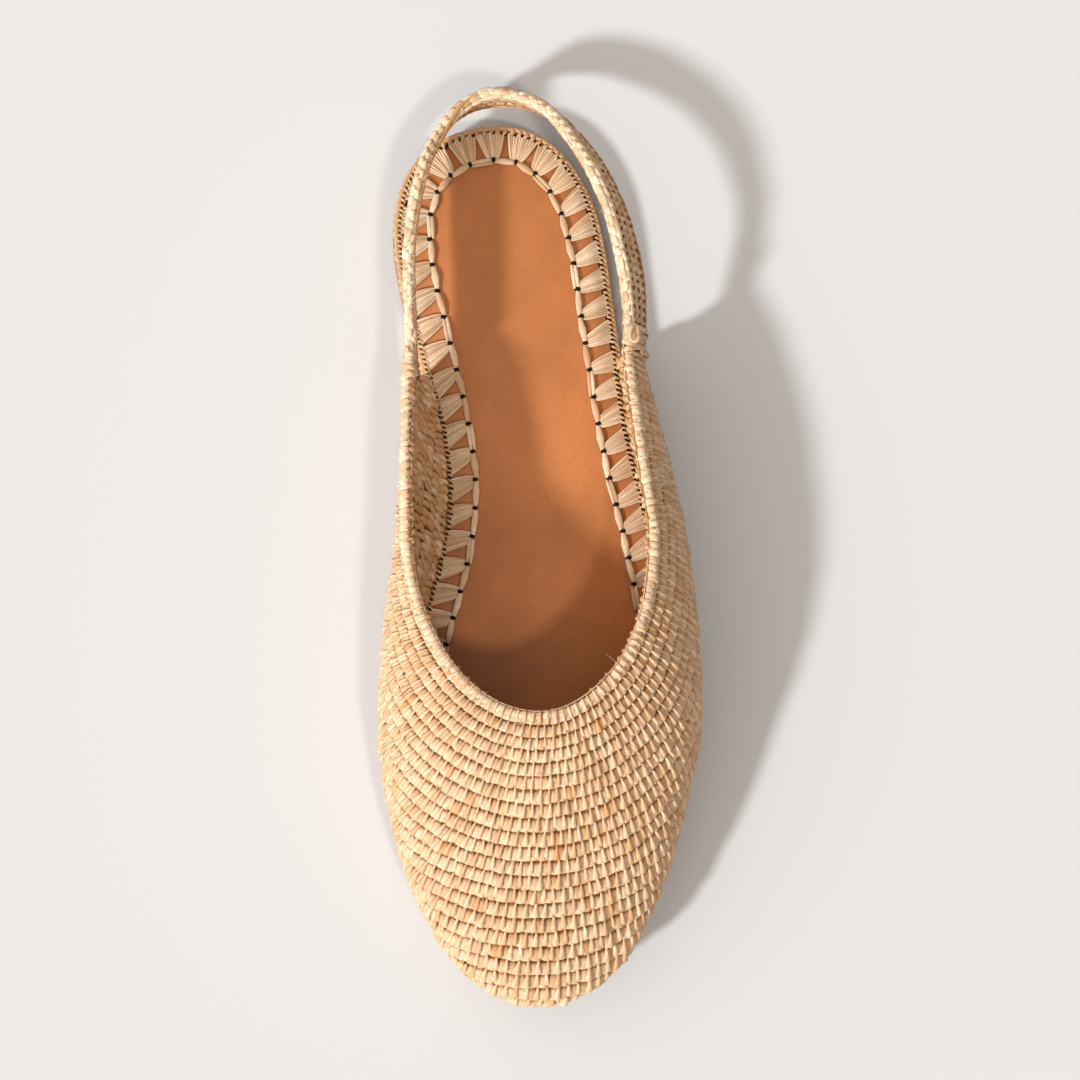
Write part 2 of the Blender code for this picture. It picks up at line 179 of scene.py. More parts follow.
STRAP_TABLE = table(
    "station side height lean_deg",
    (0.700, -0.318, 0.625, -5), (0.750, -0.312, 0.637, -4), (0.800, -0.312, 0.637, -3),
    (0.850, -0.303, 0.625, -3), (0.900, -0.278, 0.601, 0), (0.940, -0.248, 0.566, 3),
    (0.970, -0.209, 0.505, 5), (0.993, -0.165, 0.470, 6), (1.011, -0.110, 0.460, 4),
    (1.021, -0.022, 0.484, 0), (1.014, 0.084, 0.535, 8), (0.997, 0.158, 0.583, 15),
    (0.975, 0.207, 0.637, 21), (0.947, 0.256, 0.691, 26), (0.910, 0.303, 0.743, 30),
    (0.870, 0.340, 0.778, 33), (0.830, 0.364, 0.785, 34), (0.790, 0.380, 0.776, 32),
    (0.755, 0.382, 0.736, 28), (0.720, 0.380, 0.682, 25),
)

# Looped stitches, in millimetres, for a stitch REF_STITCH wide in a row REF_ROW high. Each row of a table
# is a section across the stitch: its place up the row, its middle, half its width, and its lowest and
# highest point.
REF_STITCH = 2.4
REF_ROW = 4.2
SECTION = "up middle half low high"
PAD_ROWS = table(
    SECTION,
    (2.25, -0.35, 0.00, -1.15, -1.15), (2.10, -0.35, 0.74, -1.25, -1.05), (1.55, -0.35, 0.94, -1.10, -0.60),
    (0.90, -0.35, 1.04, -0.90, -0.02), (-0.50, -0.35, 1.06, -0.80, 0.24), (-1.50, -0.35, 1.08, -0.70, 0.42),
    (-2.10, -0.35, 1.04, -0.55, 0.34), (-2.38, -0.35, 0.00, -0.10, -0.10),
)
STRAND_ROWS = table(
    SECTION,
    (2.60, 0.88, 0.00, -0.30, -0.30), (2.10, 0.88, 0.28, -0.60, 0.26), (1.30, 0.86, 0.42, -0.65, 0.60),
    (0.30, 0.82, 0.60, -0.60, 0.78), (-0.90, 0.76, 0.86, -0.55, 0.76), (-1.85, 0.70, 1.00, -0.50, 0.56),
    (-2.42, 0.66, 0.00, 0.00, 0.00),
)
INNER_ROWS = table(
    SECTION,
    (2.70, 0.95, 0.00, -0.40, -0.40), (2.10, 0.88, 0.74, -0.70, 0.20), (1.00, 0.50, 0.98, -0.70, 0.70),
    (-0.40, -0.10, 1.02, -0.70, 0.80), (-1.70, -0.62, 0.86, -0.70, 0.48),
    (-2.50, -0.85, 0.00, -0.40, -0.40),
)
LINK_ROWS = table(
    SECTION,
    (2.05, 0.20, 0.00, -0.20, -0.20), (1.55, 0.18, 0.62, -0.50, 0.20), (0.40, 0.08, 0.86, -0.50, 0.48),
    (-0.90, -0.08, 0.80, -0.50, 0.42), (-1.70, -0.18, 0.50, -0.50, 0.12),
    (-2.10, -0.20, 0.00, -0.20, -0.20),
)
OVER_ROWS = table(
    SECTION,
    (1.75, 0.00, 0.00, -1.50, -1.50), (1.45, 0.00, 1.34, -1.80, -0.62), (0.90, 0.00, 1.95, -1.40, 0.12),
    (0.00, 0.05, 2.15, -0.90, 0.26), (-1.10, 0.00, 1.95, -1.40, 0.12), (-2.00, 0.00, 1.28, -2.00, -0.62),
    (-2.45, 0.00, 0.00, -1.80, -1.80),
)
FLAT_ROWS = table(
    SECTION,
    (1.98, 0.00, 0.00, -0.05, -0.05), (1.75, 0.00, 0.56, -0.45, 0.08), (1.00, 0.05, 0.74, -0.45, 0.20),
    (-1.00, -0.05, 0.76, -0.45, 0.24), (-1.75, 0.00, 0.58, -0.45, 0.10), (-1.98, 0.00, 0.00, -0.05, -0.05),
)
BRIDGE_ROWS = table(
    SECTION,
    (1.35, 0.16, 0.00, -0.30, -0.30), (1.00, 0.12, 0.60, -0.50, 0.16), (0.00, 0.00, 0.64, -0.50, 0.44),
    (-0.60, -0.08, 0.46, -0.50, 0.28), (-0.90, -0.10, 0.00, -0.30, -0.30),
)
# Painted shade: small dark forms set in the rim's holes and in gaps between links, where shade falls
HOLE_SHADE_ROWS = table(
    SECTION,
    (0.44, 1.30, 0.00, 0.00, 0.00), (0.28, 1.26, 0.40, -0.30, 0.20), (-0.10, 1.18, 0.60, -0.30, 0.30),
    (-0.36, 1.10, 0.42, -0.30, 0.20), (-0.48, 1.06, 0.00, 0.00, 0.00),
)
# Painted shade: brown forms for the gaps between links
GAP_SHADE_ROWS = table(
    SECTION,
    (0.75, 1.20, 0.00, -0.10, -0.10), (0.45, 1.14, 0.20, -0.40, 0.16), (-0.45, 1.22, 0.24, -0.40, 0.18),
    (-0.80, 1.28, 0.00, -0.10, -0.10),
)


# Shape of the shoe


def turn_of(station):
    return math.acos(1 - 2 * min(max(station, 0), 1))


def station_of(turn):
    return (1 - math.cos(turn)) / 2


def curve_through(places, values, slopes, place):
    """A smooth curve through the values at the places, read at one place."""
    i = int(np.clip(np.searchsorted(places, place) - 1, 0, len(places) - 2))
    step = places[i + 1] - places[i]
    t = (place - places[i]) / step
    return (
        values[i] * (1 + 2 * t) * (1 - t) ** 2
        + slopes[i] * step * t * (1 - t) ** 2
        + values[i + 1] * t**2 * (3 - 2 * t)
        - slopes[i + 1] * step * t**2 * (1 - t)
    )


@functools.cache
def knots(rows, column):
    places = np.array([turn_of(row.station) for row in rows])
    values = np.array([getattr(row, column) for row in rows])
    return places, values, np.gradient(values, places)


def read(rows, column, station):
    """One column of a table of sections, at any station."""
    return curve_through(*knots(rows, column), turn_of(station))


def ease(t):
    t = min(max(t, 0), 1)
    return t * t * (3 - 2 * t)


def lift(station):
    """How far the sole rises above its tread, for the toe spring, the arch and the heel seat."""
    toe = TOE_SPRING * max(0, 1 - station / TREAD_FRONT) ** 2
    heel = HEEL_LIFT * ease((station - TREAD_BACK) / (SEAT_FRONT - TREAD_BACK))
    return toe + heel


def seam_height(station):
    return OUTSOLE_THICKNESS + EDGE_HEIGHT + 2 * CLEARANCE + lift(station)


def sole_edge(side, station):
    overhang = TOE_OVERHANG * (1 - station) ** TOE_FADE
    return np.array([BALL_WIDTH * read(SOLE_ROWS, side, station), LENGTH * station + overhang])


def outline_loop(first=0.0, sections=SOLE_SECTIONS):
    """The sole's outline as a plan loop, from the station first back to the heel and forward again."""
    turns = np.linspace(turn_of(first), math.pi, sections + 1)
    medial = [sole_edge(MEDIAL, station_of(turn)) for turn in turns]
    lateral = [sole_edge(LATERAL, station_of(turn)) for turn in turns]
    ahead = 1 if first == 0 else 0
    return np.array(medial + lateral[-2::-1][: sections - ahead])


def inset(loop, distance):
    """A closed plan loop, moved inwards by a distance."""
    along = np.roll(loop, -1, axis=0) - np.roll(loop, 1, axis=0)
    along /= np.linalg.norm(along, axis=1)[:, None]
    inwards = np.stack([along[:, 1], -along[:, 0]], axis=1)
    return loop + inwards * distance


def widest(side, station):
    height = seam_height(station) + UPPER_HEIGHT * read(UPPER_ROWS, side + "_height", station)
    return Vector((BALL_WIDTH * read(UPPER_ROWS, side, station), LENGTH * station, height))


def vamp_point(x, y):
    """The upper's outer face over a point in plan: each section is two quarter ellipses from its crown."""
    station = y / LENGTH
    crown_x = BALL_WIDTH * read(UPPER_ROWS, "crown", station)
    crown_height = seam_height(station) + UPPER_HEIGHT * read(UPPER_ROWS, "crown_height", station)
    side = widest(LATERAL if x > crown_x else MEDIAL, station)
    share = min(1, abs(x - crown_x) / max(abs(side.x - crown_x), 1e-9))
    return Vector((x, y, side.z + (crown_height - side.z) * math.sqrt(1 - share**2)))


def topline():
    """Start and plan heading of each wale on the topline, from the medial back to the lateral back."""
    middle = BALL_WIDTH * THROAT_CENTRE
    reach = LENGTH * (THROAT_BACK - THROAT)
    starts = []
    for side, back in ((MEDIAL, MEDIAL_BACK), (LATERAL, LATERAL_BACK)):
        outwards = -1 if side == MEDIAL else 1
        wall = []
        for i in range(WALL_WALES):
            station = back + (THROAT_BACK - back) * i / WALL_WALES
            x = BALL_WIDTH * read(TOPLINE_ROWS, side, station)
            wall.append((Vector((x, LENGTH * station)), Vector((outwards, 0))))
        half_width = abs(BALL_WIDTH * read(TOPLINE_ROWS, side, THROAT_BACK) - middle)
        for i in range(THROAT_WALES // 2 + 1):
            heading = math.pi / 2 * (1 - 2 * i / THROAT_WALES)
            around = math.atan2(half_width * math.sin(heading), reach * math.cos(heading))
            x = middle + outwards * half_width * math.sin(around)
            y = LENGTH * THROAT_BACK - reach * math.cos(around)
            wall.append((Vector((x, y)), Vector((outwards * math.sin(heading), -math.cos(heading)))))
        starts.append(wall)
    medial, lateral = starts
    return medial + lateral[-2::-1]


@functools.cache
def widest_outline(side):
    last = turn_of(UPPER_ROWS[-1].station)
    stations = [station_of(last * i / OUTLINE_STEPS) for i in range(OUTLINE_STEPS + 1)]
    return stations, [widest(side, station).xy for station in stations]


def meet_outline(start, heading):
    """The side and station where the plan line from start along heading meets the upper's widest outline."""
    found = []
    for side in (MEDIAL, LATERAL):
        stations, points = widest_outline(side)
        misses = [heading.cross(point - start) for point in points]
        for i in range(OUTLINE_STEPS):
            crosses = misses[i] * misses[i + 1] <= 0 and misses[i] != misses[i + 1]
            if crosses and (points[i] - start).dot(heading) > 0:
                share = misses[i] / (misses[i] - misses[i + 1])
                station = stations[i] + (stations[i + 1] - stations[i]) * share
                found.append(((points[i] - start).length, side, station))
    return min(found)[1:]


def wale(start, heading):
    """Points down the upper's outer face, from the topline to the seam."""
    side, station = meet_outline(start, heading)
    out = widest(side, station)
    points = []
    for i in range(WALE_STEPS + 1):
        plan = start + (out.xy - start) * math.sin(math.pi / 2 * i / WALE_STEPS)
        points.append(vamp_point(plan.x, plan.y))
    points[-1] = out
    foot = Vector((*sole_edge(side, station), seam_height(station)))
    for i in range(1, WALE_STEPS + 1):
        down = i / WALE_STEPS
        point = out.lerp(foot, down**SEAM_CURVE)
        point.z = out.z + (foot.z - out.z) * down
        points.append(point)
    return np.array(points)


def arc_lengths(points):
    steps = np.linalg.norm(np.diff(points, axis=0), axis=1)
    return np.concatenate([[0], steps.cumsum()])


def along_line(points, places):
    """Points at given distances along a polyline."""
    lengths = arc_lengths(points)
    return np.stack([np.interp(places, lengths, points[:, axis]) for axis in range(points.shape[1])], axis=1)


@functools.cache
def strap_knots():
    rows = []
    for row in STRAP_TABLE:
        rows.append((BALL_WIDTH * row.side, LENGTH * row.station, UPPER_HEIGHT * row.height, row.lean_deg))
    for end, back in ((0, MEDIAL_BACK), (-1, LATERAL_BACK)):
        x, _, z, lean = rows[end]
        rows[end] = (x, LENGTH * back + 2 * CLEARANCE, z, lean)
    places = np.array([0.0] + [math.dist(a[:3], b[:3]) for a, b in zip(rows, rows[1:])]).cumsum()
    return places / places[-1], places[-1], np.array(rows)


def strap_at(share):
    places, _, rows = strap_knots()
    return [curve_through(places, column, np.gradient(column, places), share) for column in rows.T]


def strap_frame(share):
    """Middle, outward, upward and onward directions of the heel strap, at a share of the way round."""
    x, y, z, lean = strap_at(share)
    ahead, behind = strap_at(min(1, share + 0.01)), strap_at(max(0, share - 0.01))
    along = Vector((ahead[0] - behind[0], ahead[1] - behind[1], 0)).normalized()
    outwards = Vector((-along.y, along.x, 0))
    tilt = math.radians(lean)
    up = Vector((0, 0, math.cos(tilt))) - outwards * math.sin(tilt)
    out = outwards * math.cos(tilt) + Vector((0, 0, math.sin(tilt)))
    return Vector((x, y, z)), out, up, along


def origin_offset():
    """Where the model's origin is in the shoe's own frame, from the outsole's box."""
    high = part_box("outsole")[1]
    outline = outline_loop()
    return Vector((outline[:, 0].max() - high.x, LENGTH - high.y, 0))


ORIGIN = origin_offset()


# Meshes


def unit(vectors):
    vectors = np.asarray(vectors, float)
    return vectors / np.maximum(np.linalg.norm(vectors, axis=-1, keepdims=True), 1e-12)


def add_column(data, name, values):
    """A named value at each point of a mesh: a number or a vector."""
    values = np.asarray(values, np.float32)
    if values.ndim == 1:
        data.attributes.new(name, "FLOAT", "POINT").data.foreach_set("value", values)
    else:
        data.attributes.new(name, "FLOAT_VECTOR", "POINT").data.foreach_set("vector", values.ravel())


def corners_of(*corners):
    """Corners of a face, or nothing if fewer than three of them differ."""
    corners = list(dict.fromkeys(corners))
    return [corners] if len(corners) > 2 else []


def linked(name, data):
    """A new object in the scene."""
    piece = bpy.data.objects.new(name, data)
    bpy.context.scene.collection.objects.link(piece)
    return piece


def new_object(name, points, edges=(), faces=(), **columns):
    """A mesh object from points in the shoe's own frame."""
    data = bpy.data.meshes.new(name)
    data.from_pydata([Vector(point) - ORIGIN for point in points], edges, faces)
    for title, values in columns.items():
        add_column(data, title, values)
    data.validate()
    return linked(name, data)


Line = namedtuple("Line", "points facing run size tall", defaults=[1.0])


def lines_object(name, lines):
    """Open polylines as one mesh of edges. Each point faces one way, runs another and has a size."""
    points, edges = [], []
    for line in lines:
        first = len(points)
        points += [tuple(point) for point in line.points]
        edges += [(first + i, first + i + 1) for i in range(len(line.points) - 1)]
    columns = {}
    for title in ("facing", "run"):
        columns[title] = np.concatenate([unit(getattr(line, title)) for line in lines])
    for title in ("size", "tall"):
        values = [np.broadcast_to(getattr(line, title), len(line.points)) for line in lines]
        columns[title] = np.concatenate(values)
    return new_object(name, points, edges, **columns)


def line_along(points, facing, size):
    """A line whose run is its own tangent."""
    points = np.asarray(points, float)
    facing = np.broadcast_to(np.asarray(facing, float), points.shape)
    return Line(points, facing, np.gradient(points, axis=0), size)


def loop_template(name, rows, sides, seed=0, paints_shade=True):
    """One looped stitch as a closed rounded form through the sections of its table."""
    points, fibre, faces = [], [], []
    turns = np.linspace(0, 2 * math.pi, sides, endpoint=False) + math.pi / sides
    highest = max(row.high for row in rows)
    rings = []
    for row in rows:
        ring = []
        for turn in turns if row.half else turns[:1]:
            c, s = math.cos(turn), math.sin(turn)
            across = row.half * math.copysign(abs(c) ** 0.7, c)
            middle, reach = (row.high + row.low) / 2, (row.high - row.low) / 2
            height = middle + reach * math.copysign(abs(s) ** 0.8, s)
            wander = 0.09 * noise.noise(Vector((across * 0.8 + seed * 7.3, row.up, height)))
            ring.append(len(points))
            points.append((row.middle + across + wander, row.up, height + wander))
            # The fibre's third part is the point's height share, which the raffia material turns into painted
            # shade low down; forms that paint no shade get 1
            fibre.append((across, row.up, height / highest if paints_shade else 1))
        rings.append(ring)
    for upper, lower in zip(rings, rings[1:]):
        for i in range(sides):
            j = (i + 1) % sides
            top = (upper[k % len(upper)] for k in (i, j))
            bottom = (lower[k % len(lower)] for k in (j, i))
            faces += [corners[::-1] for corners in corners_of(*top, *bottom)]
    data = bpy.data.meshes.new(name)
    data.from_pydata([Vector(point) * MM for point in points], [], faces)
    add_column(data, "fibre", fibre)
    data.shade_smooth()
    return bpy.data.objects.new(name, data)


# Node trees


def enabled(sockets, key):
    """The visible socket with a name, or the one at a place among the visible ones."""
    shown = [socket for socket in sockets if socket.enabled]
    return shown[key] if isinstance(key, int) else next(socket for socket in shown if socket.name == key)


class Wiring:
    """Short calls for adding nodes to a tree and joining them."""

    def __init__(self, tree):
        self.tree = tree

    def add(self, kind, inputs=None, **settings):
        node = self.tree.nodes.new(kind)
        for key, value in settings.items():
            setattr(node, key, value)
        for key, value in (inputs or {}).items():
            self.join(value, enabled(node.inputs, key))
        return node

    def join(self, value, socket):
        if isinstance(value, bpy.types.Node):
            value = enabled(value.outputs, 0)
        if isinstance(value, bpy.types.NodeSocket):
            self.tree.links.new(value, socket)
        else:
            socket.default_value = value

    def math(self, operation, *values):
        return self.add("ShaderNodeMath", dict(enumerate(values)), operation=operation)

    def scaled(self, vector, scale):
        return self.add("ShaderNodeVectorMath", {0: vector, 1: scale}, operation="MULTIPLY")

    def combined(self, x, y, z):
        return self.add("ShaderNodeCombineXYZ", {"X": x, "Y": y, "Z": z})

    def object_place(self):
        return self.add("ShaderNodeTexCoord").outputs["Object"]

    def noise(self, place, scale, detail, roughness=0.5):
        inputs = {"Vector": place, "Scale": scale, "Detail": detail, "Roughness": roughness}
        return self.add("ShaderNodeTexNoise", inputs).outputs["Fac"]

    def remap(self, value, low, high, first=0.0, last=1.0):
        inputs = {"Value": value, "From Min": low, "From Max": high, "To Min": first, "To Max": last}
        return self.add("ShaderNodeMapRange", inputs).outputs["Result"]

    def bump(self, height, strength, distance):
        return self.add("ShaderNodeBump", {"Height": height, "Strength": strength, "Distance": distance})

    def attribute(self, name, data_type="FLOAT"):
        return self.add("GeometryNodeInputNamedAttribute", {"Name": name}, data_type=data_type)

    def random(self, low, high, seed):
        return self.add("FunctionNodeRandomValue", {"Min": low, "Max": high, "Seed": seed}, data_type="FLOAT")

    def store(self, geometry, name, value, domain="POINT", data_type="FLOAT"):
        inputs = {"Geometry": geometry, "Name": name, "Value": value}
        return self.add("GeometryNodeStoreNamedAttribute", inputs, domain=domain, data_type=data_type)


def geometry_tree(name, inputs):
    """An empty geometry node tree with named inputs, as its wiring and its input and output nodes."""
    tree = bpy.data.node_groups.new(name, "GeometryNodeTree")
    tree.interface.new_socket("Geometry", in_out="INPUT", socket_type="NodeSocketGeometry")
    for title, kind in inputs.items():
        tree.interface.new_socket(title, in_out="INPUT", socket_type=f"NodeSocket{kind}")
    tree.interface.new_socket("Geometry", in_out="OUTPUT", socket_type="NodeSocketGeometry")
    wiring = Wiring(tree)
    return wiring, tree.nodes.new("NodeGroupInput"), tree.nodes.new("NodeGroupOutput")


# How much stitches differ where unevenness is 1: turns in radians, and growth as a share with its seed
STRAY = 0.07 * MM
STITCH_TURNS = {"X": 0.10, "Y": 0.16, "Z": 0.11}
STITCH_GROWTH = {"X": (0.10, 11), "Y": (0.05, 12), "Z": (0.22, 13)}


@functools.cache
def stitch_tree():
    """Looped stitches along rows: resampled at each row's stitch width, with one of the forms on each."""
    inputs = {
        "Forms": "Collection",
        "Row height": "Float",
        "Rise": "Float",
        "Unevenness": "Float",
        "Seed": "Int",
        "Material": "Material",
    }
    w, given, result = geometry_tree("stitches", inputs)
    given = given.outputs
    curve = w.add("GeometryNodeMeshToCurve", {"Mesh": given["Geometry"]})
    size = w.attribute("size")
    curve = w.add("GeometryNodeResampleCurve", {"Curve": curve, "Length": size}, mode="LENGTH")
    points = w.add("GeometryNodeCurveToPoints", {"Curve": curve}, mode="EVALUATED")
    uneven = given["Unevenness"]
    reach = {"Min": (-STRAY,) * 3, "Max": (STRAY,) * 3, "Seed": given["Seed"]}
    stray = w.add("FunctionNodeRandomValue", reach, data_type="FLOAT_VECTOR")
    stray = w.add("ShaderNodeVectorMath", {0: stray, "Scale": uneven}, operation="SCALE")
    points = w.add("GeometryNodeSetPosition", {"Geometry": points, "Offset": stray})
    turns = {}
    for axis, share in STITCH_TURNS.items():
        spread = w.math("MULTIPLY", uneven, share)
        turns[axis] = w.random(w.math("MULTIPLY", spread, -1.0), spread, given["Seed"])
    axes = {
        "Primary Axis": w.attribute("facing", "FLOAT_VECTOR"),
        "Secondary Axis": w.attribute("run", "FLOAT_VECTOR"),
    }
    aim = w.add("FunctionNodeAxesToRotation", axes, primary_axis="Z", secondary_axis="X")
    tilt = w.add("FunctionNodeEulerToRotation", {"Euler": w.add("ShaderNodeCombineXYZ", turns)})
    turned = {"Rotation": aim, "Rotate By": tilt}
    turned = w.add("FunctionNodeRotateRotation", turned, rotation_space="LOCAL")
    scale = {
        "X": w.math("DIVIDE", w.attribute("size"), REF_STITCH * MM),
        "Y": w.math("MULTIPLY", w.attribute("tall"), given["Row height"]),
        "Z": given["Rise"],
    }
    for axis, (spread, seed) in STITCH_GROWTH.items():
        vary = w.random(-spread, spread, seed)
        vary = w.math("MULTIPLY_ADD", vary, uneven, 1.0)
        scale[axis] = w.math("MULTIPLY", scale[axis], vary)
    forms = {"Collection": given["Forms"], "Separate Children": True, "Reset Children": True}
    chosen = {"Min": 0, "Max": 99, "Seed": given["Seed"]}
    placed = {
        "Points": points,
        "Instance": w.add("GeometryNodeCollectionInfo", forms),
        "Pick Instance": True,
        "Instance Index": w.add("FunctionNodeRandomValue", chosen, data_type="INT"),
        "Rotation": turned,
        "Scale": w.add("ShaderNodeCombineXYZ", scale),
    }
    placed = w.add("GeometryNodeInstanceOnPoints", placed)
    tinted = w.store(placed, "tint", w.random(0.0, 1.0, w.math("ADD", given["Seed"], 5.0)), "INSTANCE")
    real = w.add("GeometryNodeRealizeInstances", {"Geometry": tinted})
    real = w.add("GeometryNodeSetMaterial", {"Geometry": real, "Material": given["Material"]})
    w.join(real, result.inputs["Geometry"])
    return w.tree


@functools.cache
def strand_tree():
    """Flat strands along lines, as wide as each point's size."""
    inputs = {"Flatness": "Float", "Sides": "Int", "Seed": "Int", "Material": "Material"}
    w, given, result = geometry_tree("strands", inputs)
    given = given.outputs
    curve = w.add("GeometryNodeMeshToCurve", {"Mesh": given["Geometry"]})
    normal = w.attribute("facing", "FLOAT_VECTOR")
    curve = w.add("GeometryNodeSetCurveNormal", {"Curve": curve, "Normal": normal}, mode="FREE")
    tint = w.random(0.0, 1.0, given["Seed"])
    curve = w.store(curve, "tint", tint, "CURVE")
    length = w.math("MULTIPLY", w.add("GeometryNodeSplineParameter").outputs["Length"], 1.0 / MM)
    curve = w.store(curve, "along", length)
    profile = w.add("GeometryNodeCurvePrimitiveCircle", {"Resolution": given["Sides"], "Radius": 0.5})
    flat = w.combined(given["Flatness"], 1.0, 1.0)
    profile = w.add("GeometryNodeTransform", {"Geometry": profile, "Scale": flat})
    profile = w.store(profile, "across", w.add("GeometryNodeSplineParameter").outputs["Factor"])
    tube = {"Curve": curve, "Profile Curve": profile, "Scale": w.attribute("size"), "Fill Caps": True}
    mesh = w.add("GeometryNodeCurveToMesh", tube)
    around = w.math("MULTIPLY", w.attribute("across"), 3.0)
    # Fibre height 1: strands get no painted shade
    fibre = w.combined(around, w.attribute("along"), 1.0)
    mesh = w.store(mesh, "fibre", fibre, data_type="FLOAT_VECTOR")
    mesh = w.add("GeometryNodeSetShadeSmooth", {"Geometry": mesh})
    mesh = w.add("GeometryNodeRealizeInstances", {"Geometry": mesh})
    mesh = w.add("GeometryNodeSetMaterial", {"Geometry": mesh, "Material": given["Material"]})
    w.join(mesh, result.inputs["Geometry"])
    return w.tree


def grown(piece, tree, **values):
    """Runs a geometry node tree on a piece and keeps the result as its plain mesh."""
    modifier = piece.modifiers.new(tree.name, "NODES")
    modifier.node_group = tree
    named = {item.name: item.identifier for item in tree.interface.items_tree if item.in_out == "INPUT"}
    for title, value in values.items():
        modifier[named[title.replace("_", " ").capitalize()]] = value
    bpy.context.view_layer.update()
    graph = bpy.context.evaluated_depsgraph_get()
    mesh = bpy.data.meshes.new_from_object(
        piece.evaluated_get(graph), preserve_all_data_layers=True, depsgraph=graph
    )
    piece.modifiers.clear()
    piece.data = mesh
    mesh.name = piece.name
    for spare in ("facing", "run", "size", "tall", "along", "across"):
        if spare in mesh.attributes:
            mesh.attributes.remove(mesh.attributes[spare])
    return piece


def forms_of(name, rows, sides, paints_shade, copies=4):
    """A collection of slightly different forms of one looped stitch."""
    collection = bpy.data.collections.new(name)
    bpy.context.scene.collection.children.link(collection)
    for i in range(copies):
        collection.objects.link(loop_template(f"{name}_{i}", rows, sides, i, paints_shade))
    return collection


def clear_forms(collection):
    for form in list(collection.objects):
        bpy.data.objects.remove(form)
    bpy.data.collections.remove(collection)


def stitched(name, lines, rows, material, seed, sides=6, paints_shade=True, **more):
    """A piece of looped stitches along lines."""
    forms = forms_of(name + "_form", rows, sides, paints_shade)
    piece = lines_object(name, lines)
    values = {"row_height": 1.0, "rise": 1.0, "unevenness": 1.0} | more
    grown(piece, stitch_tree(), forms=forms, seed=seed, material=material, **values)
    clear_forms(forms)
    return keep(piece, "raffia")


def stranded(name, lines, material, seed, flatness=0.45, sides=8):
    """A piece of flat strands along lines."""
    piece = lines_object(name, lines)
    grown(piece, strand_tree(), flatness=flatness, sides=sides, seed=seed, material=material)
    return keep(piece, "raffia")


def keep(piece, slot, *replaced):
    """Fastens a finished piece to the shoe."""
    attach(piece, "root")
    if replaced:
        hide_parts(*replaced)
    return piece


# Materials


def new_material(name, **constants):
    """A new material, its wiring and its shader, with constants on the shader's own sockets."""
    material = bpy.data.materials.new(name)
    material.use_nodes = True
    shader = material.node_tree.nodes["Principled BSDF"]
    for title, value in constants.items():
        shader.inputs[title.replace("_", " ")].default_value = value
    return material, Wiring(material.node_tree), shader


def ramp(w, factor, stops):
    node = w.add("ShaderNodeValToRGB", {"Fac": factor})
    elements = node.color_ramp.elements
    while len(elements) < len(stops):
        elements.new(0.5)
    for element, (place, color) in zip(elements, stops):
        element.position = place
        element.color = (*color, 1)
    return enabled(node.outputs, "Color")


def mixed(w, factor, a, b):
    node = w.add("ShaderNodeMix", data_type="RGBA")
    for key, value in {"Factor": factor, "A": a, "B": b}.items():
        if isinstance(value, tuple):
            value = (*value, 1)
        w.join(value, enabled(node.inputs, key))
    return enabled(node.outputs, "Result")


def shaded_by(color, factor):
    return tuple(min(1, part * factor) for part in color)


# Each kind of raffia: the shades that its strands' tints run through, and how strong its streaks are
Raffia = namedtuple("Raffia", "shades streaks")
RAFFIAS = {
    "raffia": Raffia(
        ((0.0, "mid"), (0.2, "light"), (0.45, "fair"), (0.8, "light"), (0.95, "mid"), (1.0, "warm")), 0.7
    ),
    "rim_raffia": Raffia(((0.0, "warm"), (0.3, "mid"), (0.6, "light"), (1.0, "mid")), 0.7),
    # Partly painted shade: darker, warmer raffia for the upper's inside, which lies in shade
    "inner_raffia": Raffia(
        ((0.0, "warm"), (0.2, "mid"), (0.6, "light"), (0.85, "pale"), (1.0, "warm")), 0.95
    ),
    # Partly painted highlight: paler raffia for the upper's rim, which faces the light
    "pale_raffia": Raffia(((0.0, "light"), (0.3, "fair"), (0.8, "pale"), (1.0, "fair")), 0.55),
    # Partly painted highlight: paler raffia for the strap's edges
    "strap_raffia": Raffia(((0.0, "mid"), (0.2, "pale"), (0.8, "pale"), (1.0, "light")), 0.6),
    # Partly painted shadow: orange raffia for the strand along the strap's inner top edge
    "orange_raffia": Raffia(((0.0, "warm"), (1.0, "warm")), 0.4),
    "fan_raffia": Raffia(((0.0, "mid"), (0.25, "light"), (0.6, "pale"), (1.0, "light")), 0.5),
}


